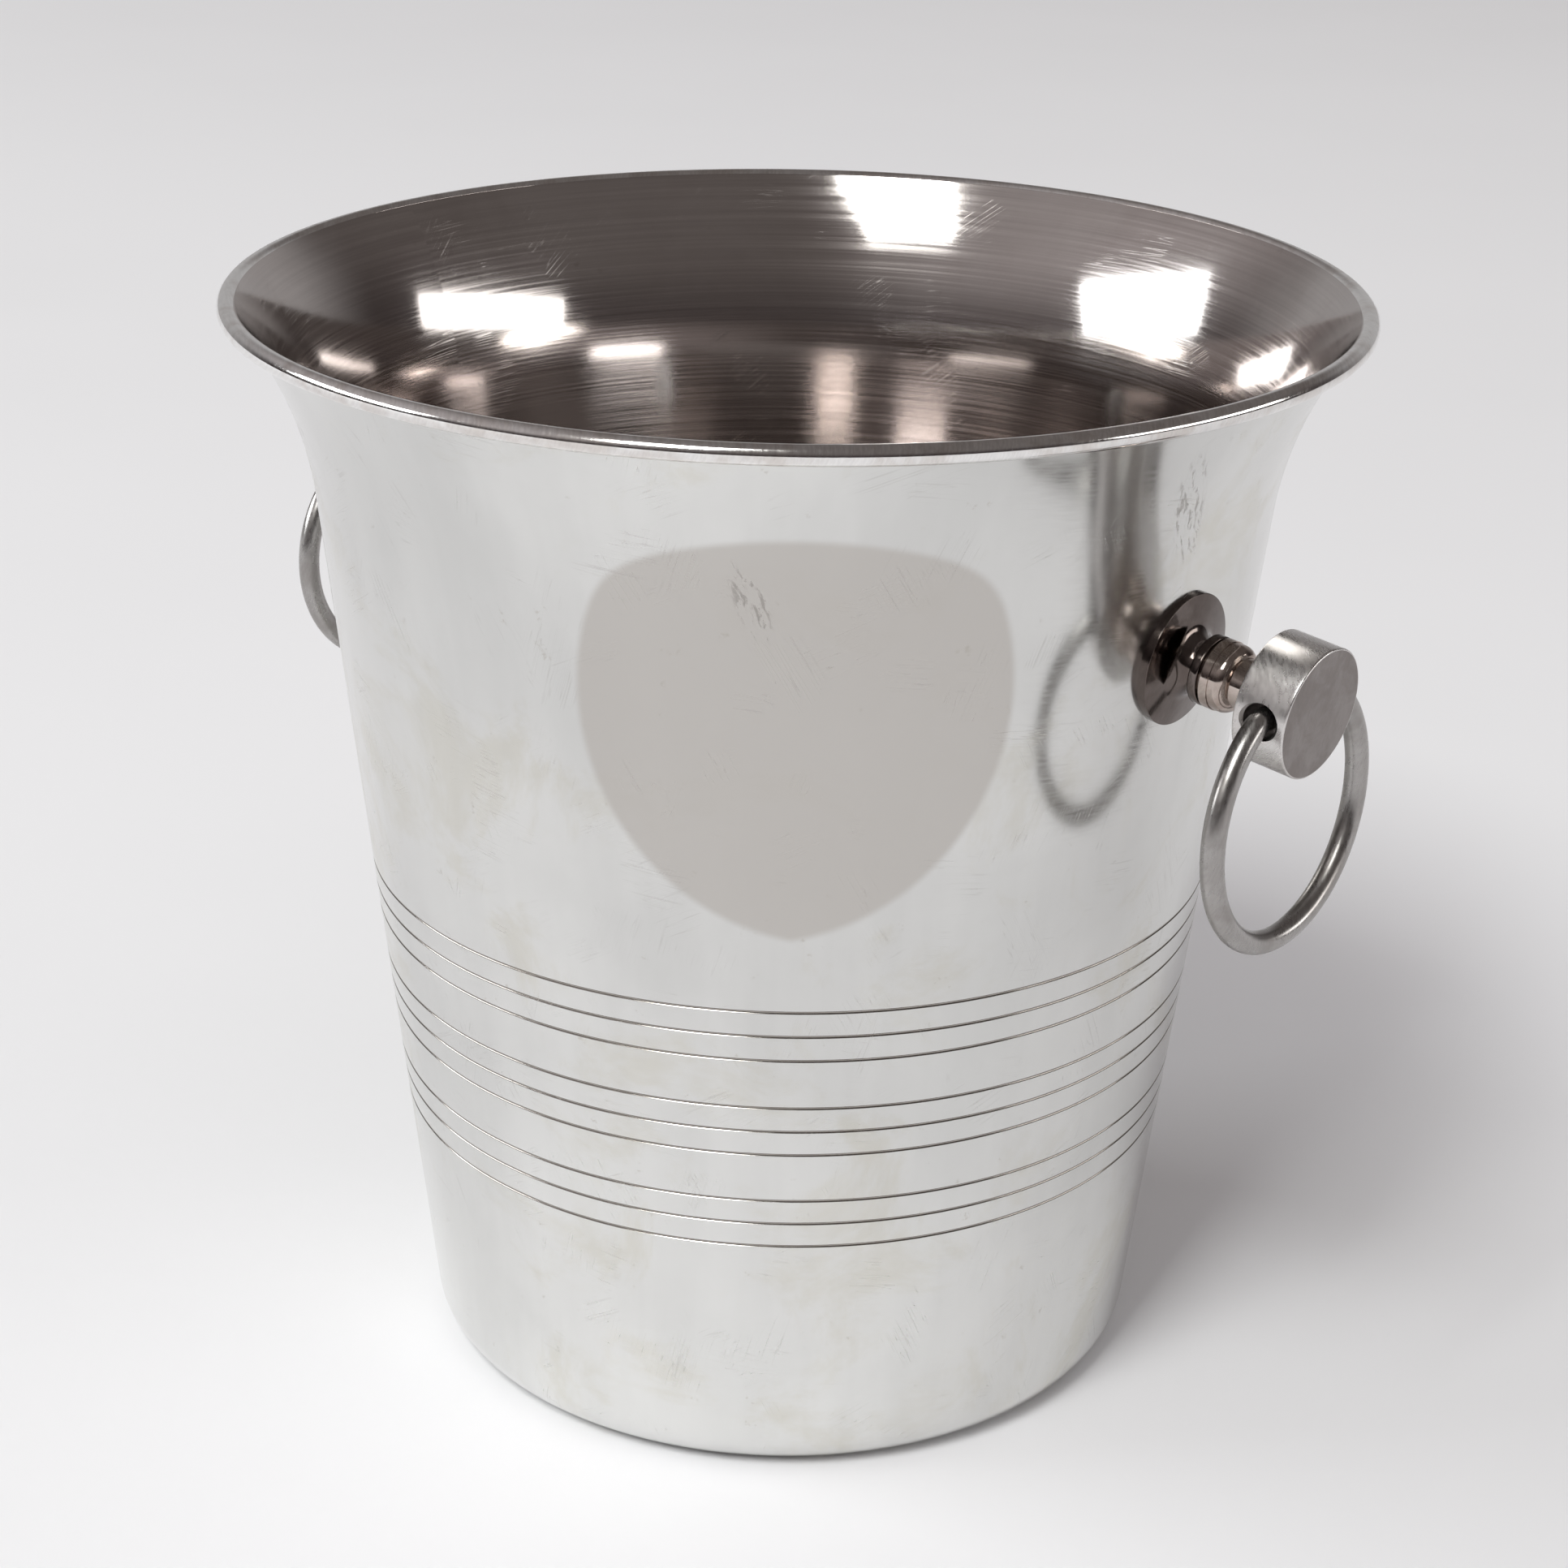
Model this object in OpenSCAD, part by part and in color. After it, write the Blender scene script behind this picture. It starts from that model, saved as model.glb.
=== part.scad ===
// Champagne bucket: one deep-drawn stainless steel body with a flared mouth and a rolled
// rim, and two screwed-on side handles. Each handle is a turned foot, a turned post with a
// drum-shaped head, and a wire ring that swings freely in the drum's cross hole.
// Millimetres, +Z up. The origin is on the table under the bucket's axis, handles on +X and -X.

/* [Body] */
// Outside diameter over the rolled rim
rim_d = 200; // [180:1:240]
// Overall height
height = 199; // [185:1:225]
// Outside diameter the wall's cone would have at the table
base_d = 132; // [110:1:142]
// Thickness of the drawn sheet
sheet_t = 0.9; // [0.7:0.1:1.1]
// Outside radius of the bottom corner
corner_r = 7.5; // [5:0.5:12]
// Radius of the flare under the rim
flare_r = 69; // [50:1:85]
// Wall angle from vertical where the flare meets the rim
rim_angle = 36.5; // [30:0.5:42]
// Outside diameter of the rolled rim bead
bead_d = 3.4; // [3:0.1:4.5]
// Height of the raised floor's underside above the table
floor_lift = 1.2; // [0.6:0.1:2]

/* [Grooves] */
// Height of the topmost groove
groove_top = 96; // [90:1:105]
// Height from one groove to the next
groove_pitch = 4.7; // [4:0.1:5]
// Depth of each groove
groove_depth = 0.2; // [0.1:0.05:0.3]

/* [Handles] */
// From the top of the rim down to where a handle's axis meets the wall
handle_drop = 48.5; // [44:0.5:80]
// Diameter of the foot's flange
foot_d = 23; // [18:0.5:26]
// Length of the foot from the wall to its joint with the post
foot_l = 6.8; // [6:0.2:9]
// Diameter of the collar on each side of that joint
collar_d = 12; // [11:0.5:13]
// Length of the post's stem, from the joint to the back of the drum
stem_l = 10.6; // [9.5:0.2:14]
// Diameter of the drum
drum_d = 22.4; // [20:0.2:26]
// Length of the drum
drum_l = 9.6; // [9:0.2:12]
// Clearance all round the ring's wire in the drum's cross hole
hole_clear = 1.1; // [0.9:0.1:1.4]

/* [Rings] */
// Diameter of the ring's wire
wire_d = 4; // [3.5:0.1:4.2]
// From the hinge axis down to the middle of the wire at the ring's bottom
ring_drop = 41; // [36:0.5:46]

/* [Hidden] */
$fn = 96;

// Cutters run this far past what they cut.
over = 1;

// Outlines are drawn as [radius, height] and turned about the bucket's axis.
bead_r = bead_d / 2;
bead_c = [rim_d / 2 - bead_r, height - bead_r];
flare_in_r = flare_r + sheet_t;
curl_proud = 0.03;
flare_c = bead_c + (flare_in_r - bead_r + curl_proud) * [cos(rim_angle), -sin(rim_angle)];

// Direction of the line from point `p` that just touches the circle at `c` on its left.
function touch_angle(p, c, r) = atan2(c[1] - p[1], c[0] - p[0]) + asin(r / norm(c - p));

// The wall's cone runs from the base circle until it touches the flare's circle.
base_r = base_d / 2;
wall_angle = 90 - touch_angle([base_r, 0], flare_c, flare_r);
wall_out = [cos(wall_angle), -sin(wall_angle)];
flare_start = flare_c - flare_r * wall_out;
flare_start_in = flare_c - flare_in_r * wall_out;
corner_in_r = corner_r - sheet_t;
corner_c = [base_r + corner_r * tan(wall_angle) - corner_r / cos(wall_angle), corner_r];

// The bent stretches of the sheet lap over the straight ones by this much at each join.
join_lap = 0.2;
function lap_angle(r) = join_lap / r * 180 / PI;

// Floor: a flat disc, lifted clear of the table inside a narrow ring that stands on it.
stand_ring_w = 6;
stand_in_r = corner_c[0] - stand_ring_w;
floor_r = stand_in_r - 2 * floor_lift;

// Rolled rim: the sheet's edge ends this far round from where it leaves the wall. The curl
// laps a little over the flare and stands a hair proud of it.
curl_gap_angle = 75;
curl_lap_angle = 12;

// Grooves: three groups of three, one pitch left out between the groups.
groove_steps = [0, 1, 2, 4, 5, 6, 8, 9, 10];
groove_cutter_r = 0.32;

// Handle axis: square to the wall, so it points a little downward.
function cone_r(z) = base_r + z * tan(wall_angle);
handle_z = height - handle_drop;
handle_r = cone_r(handle_z);
handle_tilt = wall_angle;

// Foot. Its back follows the wall's cone, clear of the flare where the flange reaches it.
saddle_depth = 2.5;
flange_above_cone = max(0, handle_z + foot_d / 2 - flare_start[1]);
saddle_clear = flange_above_cone * flange_above_cone / (2 * flare_r);
flange_edge = 0.9;
flange_r = foot_d / 2;
neck_r = 4.3;
neck_sweep_r = 3.4;
collar_r = collar_d / 2;
neck_run = 0.2;
collar_l = 1.7;
edge_break = 0.3;
neck_z = foot_l - collar_l - neck_run;

// Post
relief_w = 0.35;
relief_depth = 0.7;
relief_r = collar_r - relief_depth;
band_l = 3.2;
band_step = 0.15;
band_step_z = 2.1;
shoulder_in_r = neck_r - 0.6;
shoulder_r = collar_r - band_step - shoulder_in_r;
back_fillet = 2;
drum_r = drum_d / 2;
drum_z = foot_l + stem_l;
post_l = drum_z + drum_l;
hinge_dist = drum_z + drum_l / 2;
cross_hole_d = wire_d + 2 * hole_clear;
hole_chamfer = 0.5;

// Ring: straight ends in the cross hole, a tight bend at each mouth, then one round sweep.
bend_in_wires = 1.25;
bend_r = bend_in_wires * wire_d;
bend_inset = 1.8;
bend_y = drum_r - bend_inset;
sweep_minus_rise = bend_y * bend_y / (ring_drop - 2 * bend_r);
sweep_r = (ring_drop + sweep_minus_rise) / 2;
sweep_rise = (ring_drop - sweep_minus_rise) / 2;
bend_start_angle = atan2(sweep_rise - bend_r, bend_y);
bend_swell = 0.1;
bend_lap = 0.4;
bend_lap_angle = bend_lap / bend_r * 180 / PI;
end_gap = 2;

// Fixing, all of it inside the bucket or the handle
screw_d = 4;
screw_clear = 0.2;
screw_hole_d = screw_d + 2 * screw_clear;
thread_clear = 0.02;
screw_engage = 7;
blind_extra = 1;
head_d = 8;
head_h = 2.4;
head_round_r = 1.2;
slot_w = 1.1;
slot_depth = 1.1;
washer_d = 11;
washer_t = 1;
washer_back = sheet_t + washer_t;

steel = [0.78, 0.79, 0.80];
dark_steel = [0.50, 0.48, 0.47];
zinc = [0.66, 0.67, 0.69];

// ---------------------------------------------------------------- outlines

// A wedge with its point at `c`, from direction `a0` to `a1` in degrees.
module wedge(c, reach, a0, a1) {
    mid = (a0 + a1) / 2;
    far = reach / cos((a1 - a0) / 2);
    polygon([c,
             c + reach * [cos(a0), sin(a0)],
             c + far * [cos(mid), sin(mid)],
             c + reach * [cos(a1), sin(a1)]]);
}

module ring_sector(c, r_out, r_in, a0, a1) {
    intersection() {
        translate(c) difference() {
            circle(r = r_out);
            circle(r = r_in);
        }
        wedge(c, r_out + over, a0, a1);
    }
}

module floor_outline() {
    polygon([[0, floor_lift],
             [floor_r, floor_lift],
             [stand_in_r, 0],
             [corner_c[0], 0],
             [corner_c[0], sheet_t],
             [stand_in_r + sheet_t / 2, sheet_t],
             [floor_r + sheet_t / 2, floor_lift + sheet_t],
             [0, floor_lift + sheet_t]]);
}

module cone_outline() {
    polygon([corner_c + corner_r * wall_out,
             flare_start,
             flare_start_in,
             corner_c + corner_in_r * wall_out]);
}

module rim_curl_outline() {
    leave_angle = 180 - rim_angle;
    difference() {
        translate(bead_c) difference() {
            circle(r = bead_r);
            circle(r = bead_r - sheet_t);
        }
        wedge(bead_c, bead_r + over,
              leave_angle + curl_lap_angle, leave_angle + curl_gap_angle);
    }
}

module groove_outlines() {
    for (step = groove_steps) {
        z = groove_top - step * groove_pitch;
        surface = [cone_r(z), z];
        translate(surface + (groove_cutter_r - groove_depth) * wall_out)
            circle(r = groove_cutter_r, $fn = 24);
    }
}

module sheet_outline() {
    difference() {
        union() {
            floor_outline();
            ring_sector(corner_c, corner_r, corner_in_r,
                        -90 - lap_angle(corner_r), lap_angle(corner_r) - wall_angle);
            cone_outline();
            ring_sector(flare_c, flare_in_r, flare_r,
                        180 - rim_angle, 180 - wall_angle + lap_angle(flare_r));
            rim_curl_outline();
        }
        groove_outlines();
    }
}

// The cone that the wall follows beside the handles, `inset` millimetres inside its surface.
module wall_cone(inset) {
    z0 = handle_z - foot_d;
    z1 = handle_z + foot_d;
    r_inset = inset / cos(wall_angle);
    translate([0, 0, z0])
        cylinder(h = z1 - z0, r1 = cone_r(z0) - r_inset, r2 = cone_r(z1) - r_inset, $fn = 180);
}

// ---------------------------------------------------------------- placing

// Puts a part drawn along +Z from the wall surface onto the handle axis. `side` is 1 or -1.
module at_wall(side) {
    mirror([side < 0 ? 1 : 0, 0, 0])
        translate([handle_r, 0, handle_z])
            rotate([0, 90 + handle_tilt, 0])
                children();
}

module at_hinge(side) {
    mirror([side < 0 ? 1 : 0, 0, 0])
        translate([handle_r + hinge_dist * cos(handle_tilt), 0,
                   handle_z - hinge_dist * sin(handle_tilt)])
            children();
}

// ---------------------------------------------------------------- parts

module bucket() {
    color(steel) difference() {
        rotate_extrude() sheet_outline();
        for (side = [-1, 1])
            at_wall(side)
                translate([0, 0, -washer_back])
                    cylinder(d = screw_hole_d, h = 2 * washer_back);
    }
}

// Turned foot: a flange that rises a little, sweeps up into a neck, then a short collar.
module foot_outline() {
    edge = [flange_r, flange_edge];
    sweep_c = [neck_r + neck_sweep_r, neck_z];
    rise_angle = touch_angle(edge, sweep_c, neck_sweep_r);
    rise = sqrt(pow(norm(sweep_c - edge), 2) - neck_sweep_r * neck_sweep_r);
    difference() {
        polygon([[0, -saddle_depth],
                 [flange_r, -saddle_depth],
                 edge,
                 edge + rise * [cos(rise_angle), sin(rise_angle)],
                 [neck_r, neck_z],
                 [neck_r, foot_l - collar_l],
                 [collar_r - edge_break, foot_l - collar_l],
                 [collar_r, foot_l - collar_l + edge_break],
                 [collar_r, foot_l - edge_break],
                 [collar_r - edge_break, foot_l],
                 [0, foot_l]]);
        translate(sweep_c) circle(r = neck_sweep_r);
    }
}

module foot(side) {
    color(dark_steel)
        difference() {
            at_wall(side) difference() {
                rotate_extrude() foot_outline();
                translate([0, 0, -saddle_depth - over])
                    cylinder(d = screw_hole_d, h = saddle_depth + foot_l + 2 * over);
            }
            wall_cone(-saddle_clear);
        }
}

// Turned post: a relieved band, a rounded shoulder, a neck and the drum.
module post_outline() {
    shoulder_z = foot_l + band_l;
    difference() {
        union() {
            polygon([[0, foot_l],
                     [relief_r, foot_l],
                     [relief_r, foot_l + relief_w],
                     [collar_r - edge_break, foot_l + relief_w],
                     [collar_r, foot_l + relief_w + edge_break],
                     [collar_r, foot_l + band_step_z],
                     [collar_r - band_step, foot_l + band_step_z],
                     [collar_r - band_step, shoulder_z],
                     [0, shoulder_z]]);
            translate([shoulder_in_r, shoulder_z]) intersection() {
                circle(r = shoulder_r);
                square(shoulder_r);
            }
            translate([0, shoulder_z]) square([neck_r, drum_z - shoulder_z]);
            polygon([[0, drum_z - back_fillet],
                     [neck_r + back_fillet, drum_z - back_fillet],
                     [neck_r + back_fillet, drum_z],
                     [0, drum_z]]);
            polygon([[0, drum_z],
                     [drum_r - edge_break, drum_z],
                     [drum_r, drum_z + edge_break],
                     [drum_r, post_l - edge_break],
                     [drum_r - edge_break, post_l],
                     [0, post_l]]);
        }
        translate([neck_r + back_fillet, drum_z - back_fillet]) circle(r = back_fillet);
    }
}

module cross_hole() {
    translate([0, 0, hinge_dist]) rotate([-90, 0, 0]) {
        cylinder(d = cross_hole_d, h = drum_d + 2 * over, center = true);
        for (end = [0, 1])
            mirror([0, 0, end])
                translate([0, 0, drum_r - 2 * hole_chamfer])
                    cylinder(r1 = cross_hole_d / 2, r2 = cross_hole_d / 2 + 2 * hole_chamfer,
                             h = 2 * hole_chamfer);
    }
}

module post(side) {
    color(steel)
        at_wall(side) difference() {
            rotate_extrude() post_outline();
            translate([0, 0, foot_l - over])
                cylinder(d = screw_d + 2 * thread_clear, h = over + screw_engage + blind_extra);
            cross_hole();
        }
}

// Drawn in the XY plane with the hinge axis on X, then stood up to hang in the YZ plane.
// The bends are a hair thicker than the wire and lap over it at both ends.
module ring_wire() {
    rotate([90, 0, 90]) {
        translate([0, -sweep_rise, 0])
            rotate([0, 0, 180 - bend_start_angle])
                rotate_extrude(angle = 180 + 2 * bend_start_angle)
                    translate([sweep_r, 0]) circle(d = wire_d);
        for (end = [0, 1])
            mirror([end, 0, 0]) {
                translate([bend_y, -bend_r, 0])
                    rotate([0, 0, bend_start_angle - bend_lap_angle])
                        rotate_extrude(angle = 90 - bend_start_angle + 2 * bend_lap_angle)
                            translate([bend_r, 0]) circle(d = wire_d + bend_swell);
                translate([end_gap / 2, 0, 0])
                    rotate([0, 90, 0])
                        cylinder(d = wire_d, h = bend_y - end_gap / 2);
            }
    }
}

module ring(side) {
    color(steel) at_hinge(side) ring_wire();
}

// Slotted pan-head screw, from inside the bucket into the post.
module screw_solid() {
    head_z = -washer_back - head_h;
    difference() {
        union() {
            rotate_extrude() difference() {
                translate([0, head_z]) square([head_d / 2, head_h]);
                translate([head_d / 2 - head_round_r, head_z]) difference() {
                    square([2 * head_round_r, head_round_r]);
                    translate([0, head_round_r]) circle(r = head_round_r);
                }
            }
            translate([0, 0, -washer_back])
                cylinder(d = screw_d, h = washer_back + foot_l + screw_engage);
        }
        translate([-head_d, -slot_w / 2, head_z - over])
            cube([2 * head_d, slot_w, slot_depth + over]);
    }
}

module screws() {
    color(zinc)
        for (side = [-1, 1])
            at_wall(side) screw_solid();
}

// Each washer is dished to the wall on one side and flat under the screw's head.
module washers() {
    color(zinc)
        for (side = [-1, 1])
            intersection() {
                at_wall(side)
                    translate([0, 0, -washer_back]) difference() {
                        cylinder(d = washer_d, h = washer_back);
                        translate([0, 0, -over])
                            cylinder(d = screw_hole_d, h = washer_back + 2 * over);
                    }
                wall_cone(sheet_t);
            }
}

// ---------------------------------------------------------------- nodes

bucket();
foot(1);  // foot_right
foot(-1);  // foot_left
post(1);  // post_right
post(-1);  // post_left
ring(1);  // ring_right
ring(-1);  // ring_left
screws();
washers();
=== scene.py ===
"""Looks of a drawn stainless steel champagne bucket with two swinging ring handles.

Every piece is a smooth mesh of the same size and in the same place as the CAD node that it
stands for. Lengths are metres, +Z is up, and the origin is on the table under the bucket's axis.
"""

import logging
import math
from dataclasses import dataclass, field
from enum import Enum

import bmesh
import bpy
from mathutils import Euler, Matrix, Quaternion, Vector


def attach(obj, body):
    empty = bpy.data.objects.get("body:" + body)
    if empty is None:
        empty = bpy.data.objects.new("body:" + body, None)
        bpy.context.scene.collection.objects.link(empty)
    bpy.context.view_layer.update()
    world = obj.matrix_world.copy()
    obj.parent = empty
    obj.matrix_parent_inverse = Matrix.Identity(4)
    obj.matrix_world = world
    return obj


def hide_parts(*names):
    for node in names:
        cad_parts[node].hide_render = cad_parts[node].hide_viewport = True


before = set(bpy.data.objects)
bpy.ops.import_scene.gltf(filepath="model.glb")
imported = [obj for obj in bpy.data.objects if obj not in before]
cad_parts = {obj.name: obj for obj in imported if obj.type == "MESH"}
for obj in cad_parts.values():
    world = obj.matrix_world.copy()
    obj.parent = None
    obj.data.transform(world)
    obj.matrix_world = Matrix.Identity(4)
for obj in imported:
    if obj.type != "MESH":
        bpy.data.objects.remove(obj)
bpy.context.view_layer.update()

LOG = logging.getLogger("champagne_bucket")
MM = 0.001
SHARP_DEGREES = 28.0
WIRE_END_DEGREES = 50.0
HOLD = 0.4 * MM
EDGE_STEP = 22.0
ROUND_STEP = 8.0
TOUCHING = 1e-6
SEAM = 1e-7
SCRATCHES_PER_METRE = 34.0
SCRATCH_SLIMNESS = 30.0
SCRATCH_WIDTH = 0.012
LAYOUT_RADIUS = 80.0 * MM
FADE_ROUND = 20.0 * MM
AIM_HEIGHT = 190.0 * MM
GROOVE = "groove"

Colour = tuple[float, float, float]
Outline = list[Vector]


class Side(Enum):
    """The side of the bucket that a handle is on; the value is the sign of its X."""

    RIGHT = 1
    LEFT = -1

    @property
    def label(self) -> str:
        """The side's name as it is used in piece names."""
        return self.name.lower()


class Slot(Enum):
    """The record's material slots."""

    BODY = "body_steel"
    FOOT = "foot_steel"
    POST = "post_steel"
    RING = "ring_steel"
    FIXING = "fixing_zinc"


# ---------------------------------------------------------------- outlines


def point(r: float, z: float) -> Vector:
    """A point of an outline, `r` from the axis of turning and `z` along it."""
    return Vector((r, 0.0, z))


def polar(centre: Vector, radius: float, degrees: float) -> Vector:
    """The point at `radius` from `centre` in the direction `degrees` from +X towards +Z."""
    angle = math.radians(degrees)
    return centre + radius * Vector((math.cos(angle), 0.0, math.sin(angle)))


def arc(centre: Vector, radius: float, start: float, end: float, step: float) -> Outline:
    """Points along an arc, both ends included.

    Args:
        centre: The arc's centre.
        radius: The arc's radius.
        start: Direction of the first point in degrees.
        end: Direction of the last point in degrees.
        step: Largest turn from one point to the next in degrees.

    Returns:
        The points in order.
    """
    count = max(1, math.ceil(abs(end - start) / step))
    return [polar(centre, radius, start + (end - start) * i / count) for i in range(count + 1)]


def run(start: Vector, end: Vector, margin: float = HOLD) -> Outline:
    """A straight run with a holding point near each end, so that its shading stays flat."""
    along = (end - start).normalized() * margin
    if (end - start).length < 3 * margin:
        return [start, end]
    return [start, start + along, end - along, end]


def touch_angle(start: Vector, centre: Vector, radius: float) -> float:
    """Direction in degrees of the line from `start` that touches a circle on its left."""
    reach = centre - start
    return math.degrees(math.atan2(reach.z, reach.x) + math.asin(radius / reach.length))


def tidy(points: Outline) -> Outline:
    """The outline without points that repeat the one before."""
    kept = points[:1]
    for place in points[1:]:
        if (place - kept[-1]).length > TOUCHING:
            kept.append(place)
    return kept


def line_object(name: str, points: Outline) -> bpy.types.Object:
    """A mesh object made of the points joined by edges, linked into the scene."""
    mesh = bpy.data.meshes.new(name)
    edges = [(i, i + 1) for i in range(len(points) - 1)]
    mesh.from_pydata([tuple(p) for p in points], edges, [])
    made = bpy.data.objects.new(name, mesh)
    bpy.context.scene.collection.objects.link(made)
    return made


# ---------------------------------------------------------------- node trees


class GeometryRecipe:
    """Adds and joins the nodes of one geometry node tree."""

    def __init__(self, name: str, inputs: dict[str, str]) -> None:
        """Makes the tree with its named inputs.

        Args:
            name: The tree's name.
            inputs: Socket type for each named input; the geometry input comes by itself.
        """
        self.tree = bpy.data.node_groups.new(name, "GeometryNodeTree")
        face = self.tree.interface
        face.new_socket(name="Geometry", in_out="INPUT", socket_type="NodeSocketGeometry")
        for label, kind in inputs.items():
            face.new_socket(name=label, in_out="INPUT", socket_type="NodeSocket" + kind)
        face.new_socket(name="Geometry", in_out="OUTPUT", socket_type="NodeSocketGeometry")
        self.given = self.tree.nodes.new("NodeGroupInput").outputs
        self.result = self.tree.nodes.new("NodeGroupOutput").inputs[0]

    def add(self, kind: str, settings: dict | None = None, **inputs: object) -> bpy.types.Node:
        """Adds a node.

        Args:
            kind: The node's type without its prefix.
            settings: Values of the node's own properties.
            **inputs: A socket to link or a value to set, by socket name or `i` and its index.

        Returns:
            The new node.
        """
        for prefix in ("GeometryNode", "FunctionNode", "ShaderNode"):
            try:
                node = self.tree.nodes.new(prefix + kind)
                break
            except RuntimeError:
                continue
        for label, value in (settings or {}).items():
            setattr(node, label, value)
        for label, value in inputs.items():
            name = label.replace("_", " ")
            index = label[1:]
            socket = node.inputs[int(index)] if index.isdigit() else node.inputs[name]
            if isinstance(value, bpy.types.NodeSocket):
                self.tree.links.new(value, socket)
            else:
                socket.default_value = value
        return node

    def math(self, operation: str, first: object, second: object) -> bpy.types.NodeSocket:
        """Adds a Math node and returns its result."""
        return self.add("Math", {"operation": operation}, i0=first, i1=second).outputs[0]

    def creased(self, geometry: bpy.types.NodeSocket, limit: object) -> bpy.types.NodeSocket:
        """Shades a mesh smooth, apart from edges steeper than a limit in radians."""
        smooth = self.add("SetShadeSmooth", Geometry=geometry)
        steep = self.add(
            "Compare",
            {"data_type": "FLOAT", "operation": "GREATER_THAN"},
            A=self.add("InputMeshEdgeAngle").outputs[0],
            B=limit,
        )
        crisp = self.add(
            "SetShadeSmooth",
            {"domain": "EDGE"},
            Geometry=smooth.outputs[0],
            Selection=steep.outputs[0],
            Shade_Smooth=False,
        )
        return crisp.outputs[0]

    def dressed(self, geometry: bpy.types.NodeSocket, finish: object) -> bpy.types.NodeTree:
        """Makes instances real, gives them their material and finishes the tree."""
        real = self.add("RealizeInstances", Geometry=geometry)
        last = self.add("SetMaterial", Geometry=real.outputs[0], Material=finish)
        return self.finish(last.outputs[0])

    def finish(self, geometry: bpy.types.NodeSocket) -> bpy.types.NodeTree:
        """Joins the last node to the output and returns the tree."""
        self.tree.links.new(geometry, self.result)
        return self.tree


def turning_tree() -> bpy.types.NodeTree:
    """Turns an outline about Z and gives up to three finishes to its rows of faces.

    Returns:
        The tree. Its outline runs so that the material is on its left.
    """
    recipe = GeometryRecipe(
        "turn outline",
        {
            "Segments": "Int",
            "Sharp Angle": "Float",
            "First Rows": "Int",
            "Second Rows": "Int",
            "First Finish": "Material",
            "Second Finish": "Material",
            "Third Finish": "Material",
        },
    )
    given = recipe.given
    size = recipe.add("AttributeDomainSize", i0=given["Geometry"])
    across = recipe.math("ADD", given["Segments"], 1)
    grid = recipe.add("MeshGrid", Vertices_X=size.outputs["Point Count"], Vertices_Y=across)
    index = recipe.add("InputIndex").outputs[0]
    row = recipe.math("FLOOR", recipe.math("DIVIDE", index, across), 0.0)
    column = recipe.math("SUBTRACT", index, recipe.math("MULTIPLY", row, across))
    place = recipe.add(
        "SampleIndex",
        {"data_type": "FLOAT_VECTOR", "domain": "POINT"},
        Geometry=given["Geometry"],
        Value=recipe.add("InputPosition").outputs[0],
        Index=row,
    ).outputs[0]
    turn = recipe.math("DIVIDE", recipe.math("MULTIPLY", column, math.tau), given["Segments"])
    turned = recipe.add(
        "VectorRotate", {"rotation_type": "Z_AXIS"}, Vector=place, Angle=turn
    ).outputs[0]

    face_row = recipe.math("DIVIDE", index, given["Segments"])
    marked = recipe.add(
        "StoreNamedAttribute",
        {"data_type": "FLOAT", "domain": "FACE"},
        Geometry=grid.outputs["Mesh"],
        Name="row",
        Value=recipe.math("ADD", face_row, 0.001),
    )
    bent = recipe.add("SetPosition", Geometry=marked.outputs[0], Position=turned)
    closed = recipe.add("MergeByDistance", Geometry=bent.outputs[0], Distance=SEAM)
    creased = recipe.creased(closed.outputs[0], given["Sharp Angle"])
    real = recipe.add("RealizeInstances", Geometry=creased).outputs[0]
    row_of_face = recipe.add("InputNamedAttribute", {"data_type": "FLOAT"}, Name="row")
    last = recipe.add("SetMaterial", Geometry=real, Material=given["Third Finish"])
    for limit, finish in (("Second Rows", "Second Finish"), ("First Rows", "First Finish")):
        below = recipe.add(
            "Compare",
            {"data_type": "FLOAT", "operation": "LESS_THAN"},
            A=row_of_face.outputs[0],
            B=given[limit],
        ).outputs[0]
        last = recipe.add(
            "SetMaterial", Geometry=last.outputs[0], Selection=below, Material=given[finish]
        )
    return recipe.finish(last.outputs[0])


def sweeping_tree() -> bpy.types.NodeTree:
    """Sweeps a round wire along a line of points and closes its ends."""
    recipe = GeometryRecipe(
        "sweep wire", {"Wire Radius": "Float", "Wire Sides": "Int", "Finish": "Material"}
    )
    given = recipe.given
    path = recipe.add("MeshToCurve", Mesh=given["Geometry"])
    wire = recipe.add(
        "CurvePrimitiveCircle", Resolution=given["Wire Sides"], Radius=given["Wire Radius"]
    )
    swept = recipe.add("CurveToMesh", Curve=path.outputs[0], Profile_Curve=wire.outputs[0])
    swept.inputs["Fill Caps"].default_value = True
    creased = recipe.creased(swept.outputs[0], math.radians(WIRE_END_DEGREES))
    return recipe.dressed(creased, given["Finish"])


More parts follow.
